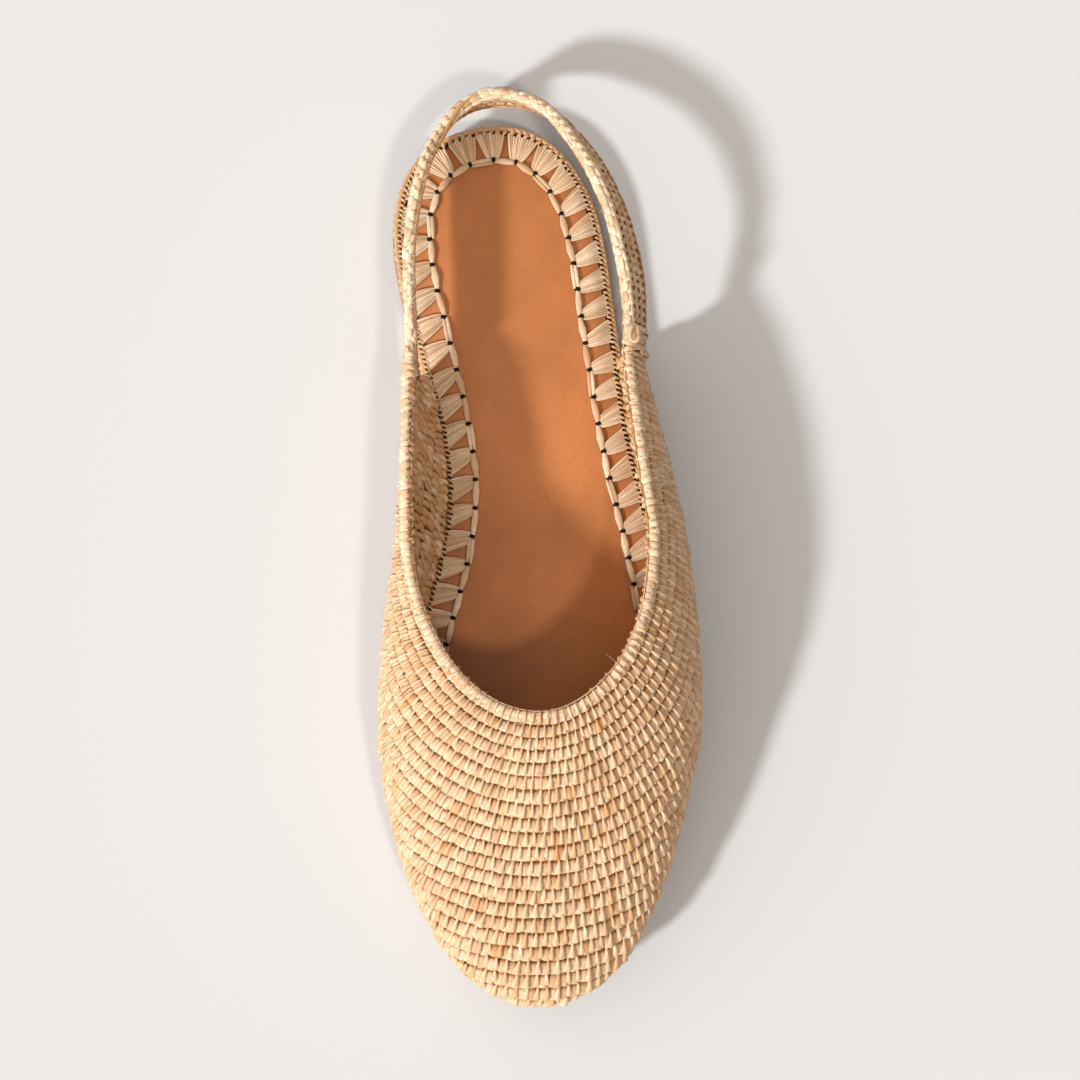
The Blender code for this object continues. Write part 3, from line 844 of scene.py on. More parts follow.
@functools.cache
def raffia_material(name="raffia"):
    """Dry raffia: streaks along each strand, a tint for each strand, and painted shade in dark brown low
    between them.
    """
    kind = RAFFIAS[name]
    material, w, shader = new_material(
        name,
        Roughness=0.5,
        Specular_IOR_Level=0.4,
        Subsurface_Weight=0.2,
        Subsurface_Radius=(1.0, 0.55, 0.3),
        Subsurface_Scale=0.7 * MM,
    )
    colors = bpy.context.scene.slingback_colors
    shades = {title: tuple(getattr(colors, "raffia_" + title)) for title in ("light", "mid", "warm", "pale")}
    shades["fair"] = tuple((a + b) / 2 for a, b in zip(shades["light"], shades["pale"]))
    tint = w.add("ShaderNodeAttribute", attribute_name="tint").outputs["Fac"]
    fibre = w.add("ShaderNodeAttribute", attribute_name="fibre").outputs["Vector"]
    height = w.add("ShaderNodeSeparateXYZ", {0: fibre}).outputs["Z"]
    offset = w.combined(w.math("MULTIPLY", tint, STREAK_SHIFT), 0.0, 0.0)
    place = w.add("ShaderNodeVectorMath", {0: w.scaled(fibre, STREAK_SCALE), 1: offset}, operation="ADD")
    streak = w.noise(place, 1.0, 4.0, 0.62)
    object_place = w.object_place()
    base = ramp(w, tint, [(place, shades[shade]) for place, shade in kind.shades])
    patch = w.remap(w.noise(object_place, 120.0, 3.0), 0.45, 0.75)
    base = mixed(w, w.math("MULTIPLY", patch, 0.5), base, shades["mid"])
    dark = w.math("MULTIPLY", w.math("SUBTRACT", 1.0, w.remap(streak, 0.36, 0.58)), kind.streaks)
    base = mixed(w, dark, base, shades["warm"])
    speck = w.remap(w.noise(object_place, 1400.0, 2.0), 0.60, 0.72, 0.0, 0.45)
    base = mixed(w, speck, base, shades["warm"])
    # Painted shade: the lower a point lies in its stitch, the more it takes the dark painted-shade colour
    base = mixed(w, w.remap(height, -1.0, 0.15, 1.0, 0.0), base, tuple(colors.raffia_painted_shade))
    w.join(base, shader.inputs["Base Color"])
    w.join(w.bump(streak, 0.7, 0.16 * MM), shader.inputs["Normal"])
    return material


@functools.cache
def core_painted_shade_material():
    """Raffia core between the stitches, painted dark brown as the shade that falls there."""
    material, w, shader = new_material("raffia_core", Roughness=0.8)
    deep = tuple(bpy.context.scene.slingback_colors.raffia_painted_shade)
    grain = w.noise(w.object_place(), 900.0, 3.0)
    w.join(mixed(w, grain, shaded_by(deep, 0.5), deep), shader.inputs["Base Color"])
    w.join(w.bump(grain, 0.6, 0.2 * MM), shader.inputs["Normal"])
    return material


@functools.cache
def thread_and_hole_shade_material():
    """Black sewing thread, matt; also the painted shade that fills the rim's holes."""
    material, w, shader = new_material("black_thread", Roughness=0.9, Specular_IOR_Level=0.15)
    grain = w.noise(w.object_place(), 2500.0, 2.0)
    w.join(mixed(w, grain, (0.004, 0.0035, 0.003), (0.02, 0.016, 0.012)), shader.inputs["Base Color"])
    return material


@functools.cache
def cord_and_gap_shade_material():
    """Tan cord along the sole's rim, with slanting twists; also the brown painted shade in holes and gaps of
    the rim and strap.
    """
    colors = bpy.context.scene.slingback_colors
    material, w, shader = new_material("rim_cord", Roughness=0.6)
    fibre = w.add("ShaderNodeAttribute", attribute_name="fibre").outputs["Vector"]
    parts = w.add("ShaderNodeSeparateXYZ", {0: fibre}).outputs
    slant = w.math("ADD", w.math("MULTIPLY", parts["Y"], 3.2), w.math("MULTIPLY", parts["X"], 2.1))
    twist = w.math("MULTIPLY", w.math("SINE", slant), 0.5)
    height = w.math("ADD", twist, w.noise(w.object_place(), 700.0, 3.0))
    base = mixed(w, w.remap(height, 0.0, 1.0), tuple(colors.raffia_warm), tuple(colors.raffia_mid))
    w.join(base, shader.inputs["Base Color"])
    w.join(w.bump(height, 0.6, 0.15 * MM), shader.inputs["Normal"])
    return material


@functools.cache
def leather_material(name, color_name, grain_scale, gloss):
    """Smooth leather: fine grain, small pores and a soft cloudy unevenness of colour."""
    color = tuple(getattr(bpy.context.scene.slingback_colors, color_name))
    material, w, shader = new_material(name, Specular_IOR_Level=0.35)
    place = w.object_place()
    cloud = w.noise(place, 38.0, 5.0, 0.6)
    grain = w.noise(place, grain_scale, 4.0)
    pores = w.add("ShaderNodeTexVoronoi", {"Vector": place, "Scale": grain_scale * 0.8}).outputs["Distance"]
    darker = shaded_by(color, 0.76)
    base = mixed(w, w.remap(cloud, 0.3, 0.62), darker, shaded_by(color, 1.05))
    base = mixed(w, w.remap(grain, 0.36, 0.52, 0.5, 0.0), base, darker)
    w.join(base, shader.inputs["Base Color"])
    w.join(w.remap(grain, 0.0, 1.0, gloss - 0.06, gloss + 0.10), shader.inputs["Roughness"])
    height = w.math("ADD", grain, w.math("MULTIPLY", pores, 0.5))
    w.join(w.bump(height, 0.22, 0.08 * MM), shader.inputs["Normal"])
    return material


# Crochet of the upper


@functools.cache
def upper_grid():
    """Wales of the upper's outer face, with their point counts and the outward normals."""
    step = GRID_STEP
    wales = []
    for start, heading in topline():
        points = wale(start, heading)
        length = arc_lengths(points)[-1]
        wales.append(along_line(points, np.append(np.arange(0, length - step / 3, step), length)))
    counts = np.array([len(points) for points in wales])
    longest = counts.max()
    padded = []
    for points in wales:
        padded.append(np.concatenate([points, np.repeat(points[-1:], longest - len(points), axis=0)]))
    grid = np.array(padded)
    across = np.gradient(grid, axis=0)
    down = np.gradient(grid, axis=1)
    normals = unit(np.cross(down, across))
    for j, count in enumerate(counts):
        normals[j, count - 1 :] = normals[j, count - 2]
    return grid, counts, normals


def wobble(points, seed, reach):
    """Small slow offsets of points, as of hand work: some of this line alone, some shared with others."""
    noise.seed_set(WANDER_SEED)
    aside = Vector((seed * 3.1, 0, 0))
    own = [noise.noise_vector(Vector(point) * WANDER_ALONE + aside) for point in points]
    shared = [noise.noise_vector(Vector(point) * WANDER_TOGETHER) for point in points]
    return np.asarray(points) + np.array(own) * reach + np.array(shared) * reach * WANDER_SHARED


@functools.cache
def row_places(first, last, longest):
    """Middle and height of each row down from the topline: rows grow from the first height to the last."""
    rows, place = [], 0.0
    while place < longest:
        height = first + (last - first) * ease(len(rows) / 7)
        rows.append((place + height / 2, height))
        place += height
    return rows


def grid_at(place):
    """Points and normals of all wales at one distance down from the topline."""
    grid, _, normals = upper_grid()
    i = min(int(place / GRID_STEP), grid.shape[1] - 2)
    share = place / GRID_STEP - i
    return grid[:, i] * (1 - share) + grid[:, i + 1] * share, normals[:, i]


def turned_in(points, facing):
    """Points of the upper's outer face and their facings, moved to its inner face."""
    return points - facing * (WALL + 0.1 * MM), -facing


def upper_rows(sizes, inner=False):
    """Lines along the rows of crochet, from the topline to the seam."""
    grid, counts, _ = upper_grid()
    reach = counts * GRID_STEP - sizes.foot_row * 1.6
    lines = []
    for row, (place, height) in enumerate(row_places(sizes.first_row, sizes.last_row, reach.max())):
        reached = [j for j in range(1, len(counts) - 1) if reach[j] > place + height * 0.3]
        if len(reached) < 4:
            break
        points, facing = (values[reached] for values in grid_at(place))
        run = np.gradient(points, axis=0)
        if inner:
            points, facing = turned_in(points, facing)
        size = sizes.stitch_width + sizes.stitch_growth * row
        size *= 1 + 0.06 * noise.noise(Vector((row * 1.7, 4.0, 0)))
        lines.append(Line(wobble(points, row, sizes.wander), facing, run, size, height / (REF_ROW * MM)))
    return lines


def seam_rows(sizes, inner=False):
    """Two lines of smaller stitches along the foot of the upper."""
    grid, counts, normals = upper_grid()
    lines = []
    for k, share in enumerate(SEAM_PLACES):
        points, facing = [], []
        for j in range(len(counts)):
            wale_points = grid[j, : counts[j]]
            length = arc_lengths(wale_points)[-1]
            points.append(along_line(wale_points, [length - sizes.foot_row * share])[0])
            facing.append(normals[j, counts[j] - 2 - 3 * (1 - k)])
        points, facing = np.array(points), np.array(facing)
        run = np.gradient(points, axis=0)
        if inner:
            points, facing = turned_in(points, facing)
        line = wobble(points, 50 + k, sizes.wander * 1.5)
        tall = sizes.foot_row * 1.1 / (REF_ROW * MM)
        lines.append(Line(line, facing, run, sizes.stitch_width * 1.08, tall))
    return lines


def topline_frames():
    """Points of the upper's edge, back edges included, with the way off the edge and the surface normal."""
    grid, counts, normals = upper_grid()
    points = list(grid[:, 0])
    off = list(unit(grid[:, 0] - grid[:, 1]))
    normal = list(normals[:, 1])
    medial = grid[0, : counts[0]][::-1][:-1]
    lateral = grid[-1, : counts[-1]][1:]
    back = np.array([0, 1, 0])
    points = list(medial) + points + list(lateral)
    off = [back] * len(medial) + off + [back] * len(lateral)
    normal = [normals[0, 2]] * len(medial) + normal + [normals[-1, 2]] * len(lateral)
    return np.array(points), unit(off), unit(normal)


def make_upper(sizes):
    grid, counts, normals = upper_grid()
    points, faces, index = [], [], {}
    for j in range(len(counts)):
        for k in range(counts[j]):
            index[j, k] = len(points)
            sunk = np.array([0, 0, 1.1 * MM]) if k == counts[j] - 1 else 0
            points.append(grid[j, k] - normals[j, k] * sizes.core_depth - sunk)
        for k in range(counts[j], grid.shape[1]):
            index[j, k] = index[j, counts[j] - 1]
    for j in range(len(counts) - 1):
        for k in range(grid.shape[1] - 1):
            faces += corners_of(index[j, k], index[j, k + 1], index[j + 1, k + 1], index[j + 1, k])
    wall = new_object("upper_wall", points, (), faces)
    wall.data.shade_smooth()
    # The core wall carries painted shade between the stitches
    wall.data.materials.append(core_painted_shade_material())
    shell = wall.modifiers.new("wall", "SOLIDIFY")
    shell.thickness = sizes.core_thickness
    shell.offset = -1
    keep(wall, "raffia", "upper")

    raffia = raffia_material()
    rows = upper_rows(sizes)
    stitched("upper_pads", rows, PAD_ROWS, raffia, 1, sides=8, unevenness=1.3)
    stitched("upper_strands", rows, STRAND_ROWS, raffia, 2, unevenness=1.3)
    foot = seam_rows(sizes)
    stitched("upper_foot_pads", foot, PAD_ROWS, raffia, 4, sides=8, rise=0.75, unevenness=1.4)
    stitched("upper_foot_strands", foot, STRAND_ROWS, raffia, 5, rise=0.75, unevenness=1.4)
    inside = upper_rows(sizes, inner=True) + seam_rows(sizes, inner=True)
    # Partly painted shade: the inside takes a darker, warmer raffia, as it lies in shade
    shade = raffia_material("inner_raffia")
    stitched("upper_inside", inside, INNER_ROWS, shade, 3, row_height=1.12, rise=1.4, unevenness=2.3)


def make_rim(sizes):
    """Edge of the throat and side walls: strands wound over it side by side, and one thin strand along it."""
    points, off, normal = topline_frames()
    middle = points - normal * WALL / 2 - off * 0.3 * MM
    run = np.gradient(points, axis=0)
    tall = np.array([0.55 + 0.27 * ease((y / LENGTH - 0.36) / 0.14) for y in points[:, 1]])
    line = Line(wobble(middle, 70, 0.1 * MM), off, run, sizes.rim_stitch, tall)
    # Partly painted highlight: the wound strands are painted paler where the rim faces the light
    pale = raffia_material("pale_raffia")
    stitched("upper_rim", [line], OVER_ROWS, pale, 7, sides=8, unevenness=0.8, paints_shade=False)
    throat = points[:, 1] < LENGTH * THROAT_BACK
    edge = (points - normal * WALL * 0.42 + off * 0.20 * MM)[throat]
    size = 0.62 * MM * np.array([1 - ease((y / LENGTH - 0.40) / 0.13) for y in edge[:, 1]]) + 0.02 * MM
    line = line_along(wobble(edge, 71, 0.3 * MM), off[throat], size)
    stranded("upper_rim_strand", [line], raffia_material(), 8)


def make_stray_fibres(sizes):
    """A few loose fibres that stand off the crochet."""
    chance = np.random.default_rng(5)
    lines = []
    for k in range(sizes.stray_fibres):
        if k % 4 == 0:
            middle, out, up, along = strap_frame(chance.uniform(0.03, 0.97))
            start, facing, run = middle + up * STRAP_WIDTH * 0.5, Vector(up), Vector(along)
        else:
            points, normals = grid_at(chance.uniform(0.001, 0.034))
            j = int(chance.integers(12, len(points) - 12))
            start, facing = Vector(points[j]), Vector(normals[j])
            run = Vector(points[j + 1] - points[j - 1]).normalized()
        side = facing.cross(run)
        turn = chance.uniform(0, 2 * math.pi)
        aim = run * math.cos(turn) + side * math.sin(turn)
        bend = run * chance.uniform(-1, 1) + side * chance.uniform(-1, 1)
        reach = chance.uniform(2.0, 6.0) * MM
        fibre = []
        for t in np.linspace(0, 1, 7):
            rise = (0.3 + chance.uniform(0.9, 1.3) * math.sin(math.pi * t**0.8)) * MM
            fibre.append(start + aim * reach * t + bend * reach * 0.5 * t * t + facing * rise)
        lines.append(line_along(fibre, facing, 0.16 * MM * np.linspace(1, 0.4, 7)))
    stranded("stray_fibres", lines, raffia_material(), 61, flatness=0.7, sides=5)


# Heel strap


def strap_lines(heights, outwards, size, sections=120, margin=0.0):
    """Lines along the strap's outer or inner face, at heights above its middle."""
    half = STRAP_THICKNESS / 2 + margin
    lines = []
    for height in heights:
        points, facing, run = [], [], []
        for share in np.linspace(0.004, 0.996, sections):
            middle, out, up, along = strap_frame(share)
            points.append(middle + out * half * outwards + up * height)
            facing.append(out * outwards)
            run.append(along)
        lines.append(Line(wobble(points, height * 900, 0.15 * MM), facing, run, size))
    return lines


def make_strap(sizes):
    sections = 100
    section = [(1, -1), (1, 0), (1, 1), (-1, 1), (-1, 0), (-1, -1)]
    half_thick = sizes.core_thickness / 2
    half_wide = STRAP_WIDTH / 2 - 0.5 * MM
    points, faces = [], []
    count = len(section)
    for i in range(sections):
        middle, out, up, _ = strap_frame(i / (sections - 1))
        points += [middle + out * half_thick * o + up * half_wide * u for o, u in section]
    for i in range(sections - 1):
        for k in range(count):
            a, b = i * count + k, i * count + (k + 1) % count
            faces.append((a, b, b + count, a + count))
    last = (sections - 1) * count
    faces += [tuple(range(count))[::-1], tuple(range(last, last + count))]
    band = new_object("strap_band", points, (), faces)
    mesh = bmesh.new()
    mesh.from_mesh(band.data)
    bmesh.ops.recalc_face_normals(mesh, faces=mesh.faces)
    mesh.to_mesh(band.data)
    mesh.free()
    band.data.materials.append(core_painted_shade_material())
    keep(band, "raffia", "heel_strap")

    raffia = raffia_material()
    pitch = sizes.strap_row
    low = pitch / ROW_PITCH
    heights = [-STRAP_WIDTH / 2 + pitch * (i + 0.5) for i in range(3)]
    outer = strap_lines(heights, 1, sizes.strap_stitch)
    stitched("strap_pads", outer, PAD_ROWS, raffia, 21, sides=8, row_height=low, rise=0.85)
    stitched("strap_strands", outer, STRAND_ROWS, raffia, 22, row_height=low, rise=0.85)
    heights = np.arange(-STRAP_WIDTH / 2 + 1.1 * MM, STRAP_WIDTH / 2 - 1.2 * MM, sizes.strap_inner_row)
    inner = strap_lines(heights, -1, 2.7 * MM)
    inner = [line._replace(run=np.cross(line.facing, line.run)) for line in inner]
    stitched("strap_inside", inner, FLAT_ROWS, raffia, 23, row_height=0.70, rise=1.2, unevenness=1.5)
    make_strap_edges(sizes)


def make_strap_edges(sizes):
    """Edges of the strap: three flat rows of long links along the top, shorter ones along the bottom."""
    # Partly painted highlight: the edges' links are painted paler
    pale = raffia_material("strap_raffia")
    edges = ("strap_top_edge", 1, sizes.strap_edge_stitch), ("strap_low_edge", -1, sizes.rim_stitch)
    for name, top, size in edges:
        lines = []
        for side in (-1, 0, 1):
            points, facing, run = [], [], []
            for share in np.linspace(0.004 + 0.006 * side, 0.994 + 0.004 * side, 120):
                middle, out, up, along = strap_frame(share)
                lean = up * top + out * side * 0.55
                slant = along + out * (side * 0.05 + 0.10)
                rise = STRAP_WIDTH / 2 - (0.35 + 0.45 * abs(side)) * MM
                points.append(middle + up * top * rise + out * side * 1.05 * MM)
                facing.append(lean)
                run.append(lean.cross(slant))
            lines.append(Line(wobble(points, 5 * top + side, 0.2 * MM), facing, run, size))
        stitched(name, lines, FLAT_ROWS, pale, 25 + top, row_height=0.98, unevenness=0.8)
        if top == 1:
            # Painted shade: brown forms in the gaps between the top edge's links
            gaps = [line._replace(run=np.cross(line.run, line.facing)) for line in lines]
            stitched("strap_gaps", gaps, GAP_SHADE_ROWS, cord_and_gap_shade_material(), 29, row_height=0.8, unevenness=1.8)
    # Partly painted shadow: an orange strand on the back and medial part, where a warm shadow line runs along
    # the strap's inner top edge
    first, crossing, last = STRAP_STRAND
    points, facing, width = [], [], []
    for share in np.linspace(first, last, 80):
        middle, out, up, _ = strap_frame(share)
        over = ease((share - crossing) / 0.11)
        aside = -1.45 + 2.6 * over
        height = STRAP_WIDTH / 2 - (0.35 - 0.65 * math.sin(math.pi * over)) * MM
        points.append(middle + up * height + out * aside * MM)
        facing.append(up + out * (2 * over - 1))
        full = (0.15 + 0.75 * ease((share - first) / 0.16)) * MM
        width.append(full * (1 + 0.5 * noise.noise(points[-1] * 160)))
    line = line_along(wobble(points, 77, 0.35 * MM), facing, np.array(width))
    stranded("strap_edge_strand", [line], raffia_material("orange_raffia"), 28)


def wrap_point(distance, angle, lift_off, side):
    """A point round the strap at a distance from one of its ends, with the way outwards there."""
    whole = strap_knots()[1]
    share = min(max(distance / whole, 0), 1)
    middle, out, up, along = strap_frame(1 - share if side == LATERAL else share)
    if distance < 0:
        middle = middle + along * (-distance if side == LATERAL else distance)
    c, s = math.cos(angle), math.sin(angle)
    around = out * math.copysign(abs(c) ** 0.8, c) * (STRAP_THICKNESS / 2 + lift_off)
    around += up * math.copysign(abs(s) ** 0.8, s) * (STRAP_WIDTH / 2 + lift_off * 0.5)
    return middle + around, around.normalized()


def make_wraps(sizes):
    """Strands wound over and across each end of the strap, where it is sewn to the upper."""
    whole = strap_knots()[1]
    for side, seed in ((MEDIAL, 31), (LATERAL, 32)):
        lines = []
        for layer, (turns, first, last) in enumerate(WRAP_LAYERS):
            steps = int(turns * 16)
            points, facing = [], []
            for i in range(steps + 1):
                distance = (first + (last - first) * i / steps) * MM
                angle = 2 * math.pi * i / 16 + layer * 2.2
                point, outwards = wrap_point(distance, angle, (0.7 + 0.3 * layer) * MM, side)
                points.append(point)
                facing.append(outwards)
            lines.append(line_along(wobble(points, seed + layer * 3, 0.45 * MM), facing, 1.5 * MM))
        if side == LATERAL:
            lines += joint_loop(whole)
        wrap = stranded(f"strap_wrap_{side}_strand", lines, raffia_material(), seed, flatness=0.5)
        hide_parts(f"strap_wrap_{side}")


def joint_loop(whole):
    """A strand in a long loop on the lateral joint, and the strand that it goes round."""
    middle, out, up, along = strap_frame(1 - 2.4 * MM / whole)
    facing, across = (out + up).normalized(), (out - up).normalized()
    middle = middle + up * (STRAP_WIDTH / 2 - 0.6 * MM) + out * (STRAP_THICKNESS / 2 + 0.6 * MM)
    points = []
    for i in range(29):
        angle = 2 * math.pi * i / 26 + 1.2
        point = middle + along * 2.2 * MM * math.cos(angle) + across * 1.35 * MM * math.sin(angle)
        points.append(point + facing * (0.8 + 0.3 * math.sin(angle * 2)) * MM)
    under = [middle + along * reach * MM + facing * 0.35 * MM for reach in np.linspace(-2.4, 2.4, 7)]
    return [line_along(points, facing, 1.25 * MM), line_along(under, facing, 2.0 * MM)]


# Sole


def plate(name, rings, from_toe=True):
    """A closed plate through rings of points, lowest first."""
    mesh = bmesh.new()
    loops = [[mesh.verts.new(Vector(point) - ORIGIN) for point in ring] for ring in rings]
    count = len(loops[0])
    for lower, upper in zip(loops, loops[1:]):
        for i in range(count):
            j = (i + 1) % count
            mesh.faces.new((lower[i], lower[j], upper[j], upper[i]))
    sections = count // 2
    opposite = 0 if from_toe else 1
    for loop in (loops[0], loops[-1]):
        for i in range(sections if from_toe else sections - 1):
            for corners in corners_of(loop[i], loop[i + 1], loop[-i - 1 - opposite], loop[-i - opposite]):
                mesh.faces.new(corners)
    bmesh.ops.recalc_face_normals(mesh, faces=mesh.faces)
    data = bpy.data.meshes.new(name)
    mesh.to_mesh(data)
    mesh.free()
    data.shade_smooth()
    data.set_sharp_from_angle(angle=math.radians(40))
    return linked(name, data)


def ring_at(loop, base):
    """A plan loop as points in space that follow the sole's lift."""
    return [(x, y, lift(y / LENGTH) + base) for x, y in loop]


def rounded_rings(outline, base, top, radius, steps=4):
    """Rings from the bottom to the top of a plate with rounded edges."""
    rings = []
    for i in range(steps + 1):
        turn = math.pi / 2 * i / steps
        loop = inset(outline, radius * (1 - math.sin(turn)))
        rings.append(ring_at(loop, base + radius * (1 - math.cos(turn))))
    for i in range(steps + 1):
        turn = math.pi / 2 * i / steps
        loop = inset(outline, radius * (1 - math.cos(turn)))
        rings.append(ring_at(loop, top - radius * (1 - math.sin(turn))))
    return rings


def make_sole(sizes):
    outline = outline_loop(sections=90)
    dark_leather = leather_material("sole_leather", "sole_color", 700.0, 0.5)
    sole = plate("sole", rounded_rings(outline, 0, OUTSOLE_THICKNESS, SOLE_BEVEL))
    sole.data.materials.append(dark_leather)
    keep(sole, "sole_leather", "outsole")

    heel_outline = inset(outline_loop(HEEL_BREAST, 60), HEEL_INSET)
    rings = [
        [(x, y, 0) for x, y in inset(heel_outline, SOLE_BEVEL)],
        [(x, y, SOLE_BEVEL) for x, y in heel_outline],
        [(x, y, lift(y / LENGTH) - CLEARANCE) for x, y in heel_outline],
    ]
    heel = plate("heel", rings, from_toe=False)
    heel.data.materials.append(dark_leather)
    keep(heel, "sole_leather", "heel_lift")

    bed_outline = inset(outline, EDGE_WIDTH + CLEARANCE)
    bed = plate("foot_bed", rounded_rings(bed_outline, BASE, BED, INSOLE_BEVEL))
    bed.data.materials.append(leather_material("insole_leather", "insole_color", 1500.0, 0.42))
    keep(bed, "insole_leather", "insole")


def hole_insets(sizes, outline):
    """Distance of the rim's holes from the sole's edge at each point of the outline."""
    backs = np.where(outline[:, 0] > 0, LATERAL_BACK, MEDIAL_BACK) * LENGTH
    share = np.array([ease(0.5 - gap / (8 * MM)) for gap in outline[:, 1] - backs])
    return (sizes.hole_inset + sizes.wall_hole_shift * share)[:, None]


def closed_line(loop, height, size, lean=0.0):
    """A line all round a plan loop, above the sole, leaning outwards by a share."""
    closed = np.concatenate([loop, loop[:2]])
    points = np.array([(x, y, lift(y / LENGTH) + height) for x, y in closed])
    run = unit(np.gradient(points, axis=0))
    outwards = np.stack([-run[:, 1], run[:, 0], np.zeros(len(run))], axis=1)
    facing = outwards * lean + np.array([0, 0, 1 - abs(lean)])
    return Line(points, facing, run, size)


def parts_of(line, chosen):
    """The stretches of a line whose points are chosen, with one point more at each end."""
    edges = np.flatnonzero(np.diff(np.concatenate([[0], chosen.astype(int), [0]])))
    parts = []
    for first, last in zip(edges[::2], edges[1::2]):
        kept = slice(max(0, first - 1), last + 1)
        parts.append(line._replace(points=line.points[kept], facing=line.facing[kept], run=line.run[kept]))
    return parts


def make_edge_row(sizes):
    """Row round the insole: a core, slanted stitches over its outer side and a thin cord along the top."""
    outline = outline_loop(sections=110)
    middle = BASE + EDGE_HEIGHT / 2
    core = [closed_line(inset(outline, EDGE_WIDTH / 2), middle, EDGE_WIDTH)]
    core = stranded("edge_core", core, core_painted_shade_material(), 41, flatness=1.0, sides=10)
    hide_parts("edge_row")
    line = closed_line(inset(outline, 0.5 * MM), middle, sizes.edge_stitch, lean=1.0)
    stitched("edge_stitches", [line], INNER_ROWS, raffia_material(), 42, row_height=0.62, rise=0.9)
    under = closed_line(inset(outline, 0.85 * MM), RIM - 0.25 * MM, 1.5 * MM)
    stranded("edge_cord", [under], cord_and_gap_shade_material(), 43, flatness=0.7)
    pale = raffia_material("rim_raffia")
    rim = closed_line(inset(outline, 0.8 * MM), RIM + 0.05 * MM, sizes.rim_pitch)
    rim = rim._replace(run=unit(rim.run) * 0.55 + np.cross(rim.facing, unit(rim.run)))
    stitched("edge_links", [rim], LINK_ROWS, pale, 44, row_height=0.40, rise=0.55, unevenness=1.5)

    line = closed_line(inset(outline, hole_insets(sizes, outline)), BED + 0.80 * MM, sizes.hole_pitch)
    bridges = line._replace(run=unit(line.run) - np.cross(line.facing, unit(line.run)) * 0.35)
    x, y = bridges.points[:, 0], bridges.points[:, 1]
    behind = y > BACK_HOLES * LENGTH
    medial = (x < 0) & (y > LENGTH * MEDIAL_BACK) & ~behind
    back = [part._replace(size=sizes.back_hole_pitch) for part in parts_of(bridges, behind)]
    soft = parts_of(bridges, medial)
    dark = parts_of(bridges, ~behind & ~medial) + back
    brown = cord_and_gap_shade_material()
    stitched("rim_bridges", dark + soft, BRIDGE_ROWS, pale, 45, unevenness=1.2)
    # Painted shade: black forms in the rim's holes, brown ones in the holes on the medial heel
    stitched("rim_holes", dark, HOLE_SHADE_ROWS, thread_and_hole_shade_material(), 46, row_height=0.9, unevenness=1.2)
    stitched("rim_soft_holes", soft, HOLE_SHADE_ROWS, brown, 48, row_height=0.6, unevenness=1.5)
    # Painted shade: brown forms in the gaps outside the bridges on the medial heel
    outer = closed_line(inset(outline, 1.0 * MM), RIM + 0.12 * MM, sizes.hole_pitch)
    stitched("rim_gaps", parts_of(outer, medial), HOLE_SHADE_ROWS, brown, 47, row_height=0.6, unevenness=1.5)


# Raffia fans sewn over the insole's border


def closed(loop):
    return np.concatenate([loop, loop[:1]])


def raised(plan, height):
    """A point in space over a plan point, at a height above the lifted sole."""
    return plan[0], plan[1], lift(plan[1] / LENGTH) + height


def nearest_place(loop, point):
    """Distance along a closed plan loop to its point nearest to a given point."""
    fine = np.linspace(0, arc_lengths(closed(loop))[-1], 4000, endpoint=False)
    gaps = np.linalg.norm(along_line(closed(loop), fine) - point, axis=1)
    return fine[gaps.argmin()]


def fan_knots(sizes):
    """Place in plan of each fan's knot: the fans are evenly spaced along a loop near the sole's edge."""
    outline = outline_loop(sections=110)
    chain = inset(outline, sizes.chain_inset)
    for _ in range(6):
        chain = (np.roll(chain, 1, axis=0) + chain * 2 + np.roll(chain, -1, axis=0)) / 4
    spacing = inset(outline, sizes.spacing_inset)
    whole = arc_lengths(closed(spacing))[-1]
    places = nearest_place(spacing, np.array(sizes.first_knot)) + whole * (np.arange(sizes.fans) / sizes.fans)
    marks = along_line(closed(spacing), places % whole)
    return along_line(closed(chain), [nearest_place(chain, mark) for mark in marks])


def fan_strand(sizes, knot, end, aside, width, turn):
    """One strand of a fan, from its knot to its place in the rim."""
    aim = end - knot
    sideways = np.array([-aim[1], aim[0]]) / np.linalg.norm(aim)
    points = []
    for t in np.linspace(0, 1, 7):
        spread = aside * (sizes.knot_spread * (1 - t) + sizes.fan_bow * math.sin(math.pi * t**0.6))
        arch = sizes.fan_arch * math.sin(math.pi * min(1, t * 1.06)) ** 0.7
        height = BED + (RIM - BED) * ease(t * 1.3) + arch * (0.75 + 0.25 * math.sin(turn))
        points.append(raised(knot + aim * t - sideways * spread, height + THREAD_RISE))
    widths = np.interp(np.linspace(0, 1, 7), [0, 0.25, 1], [0.55, 0.85, 1.02])
    return line_along(points, UP, width * widths)


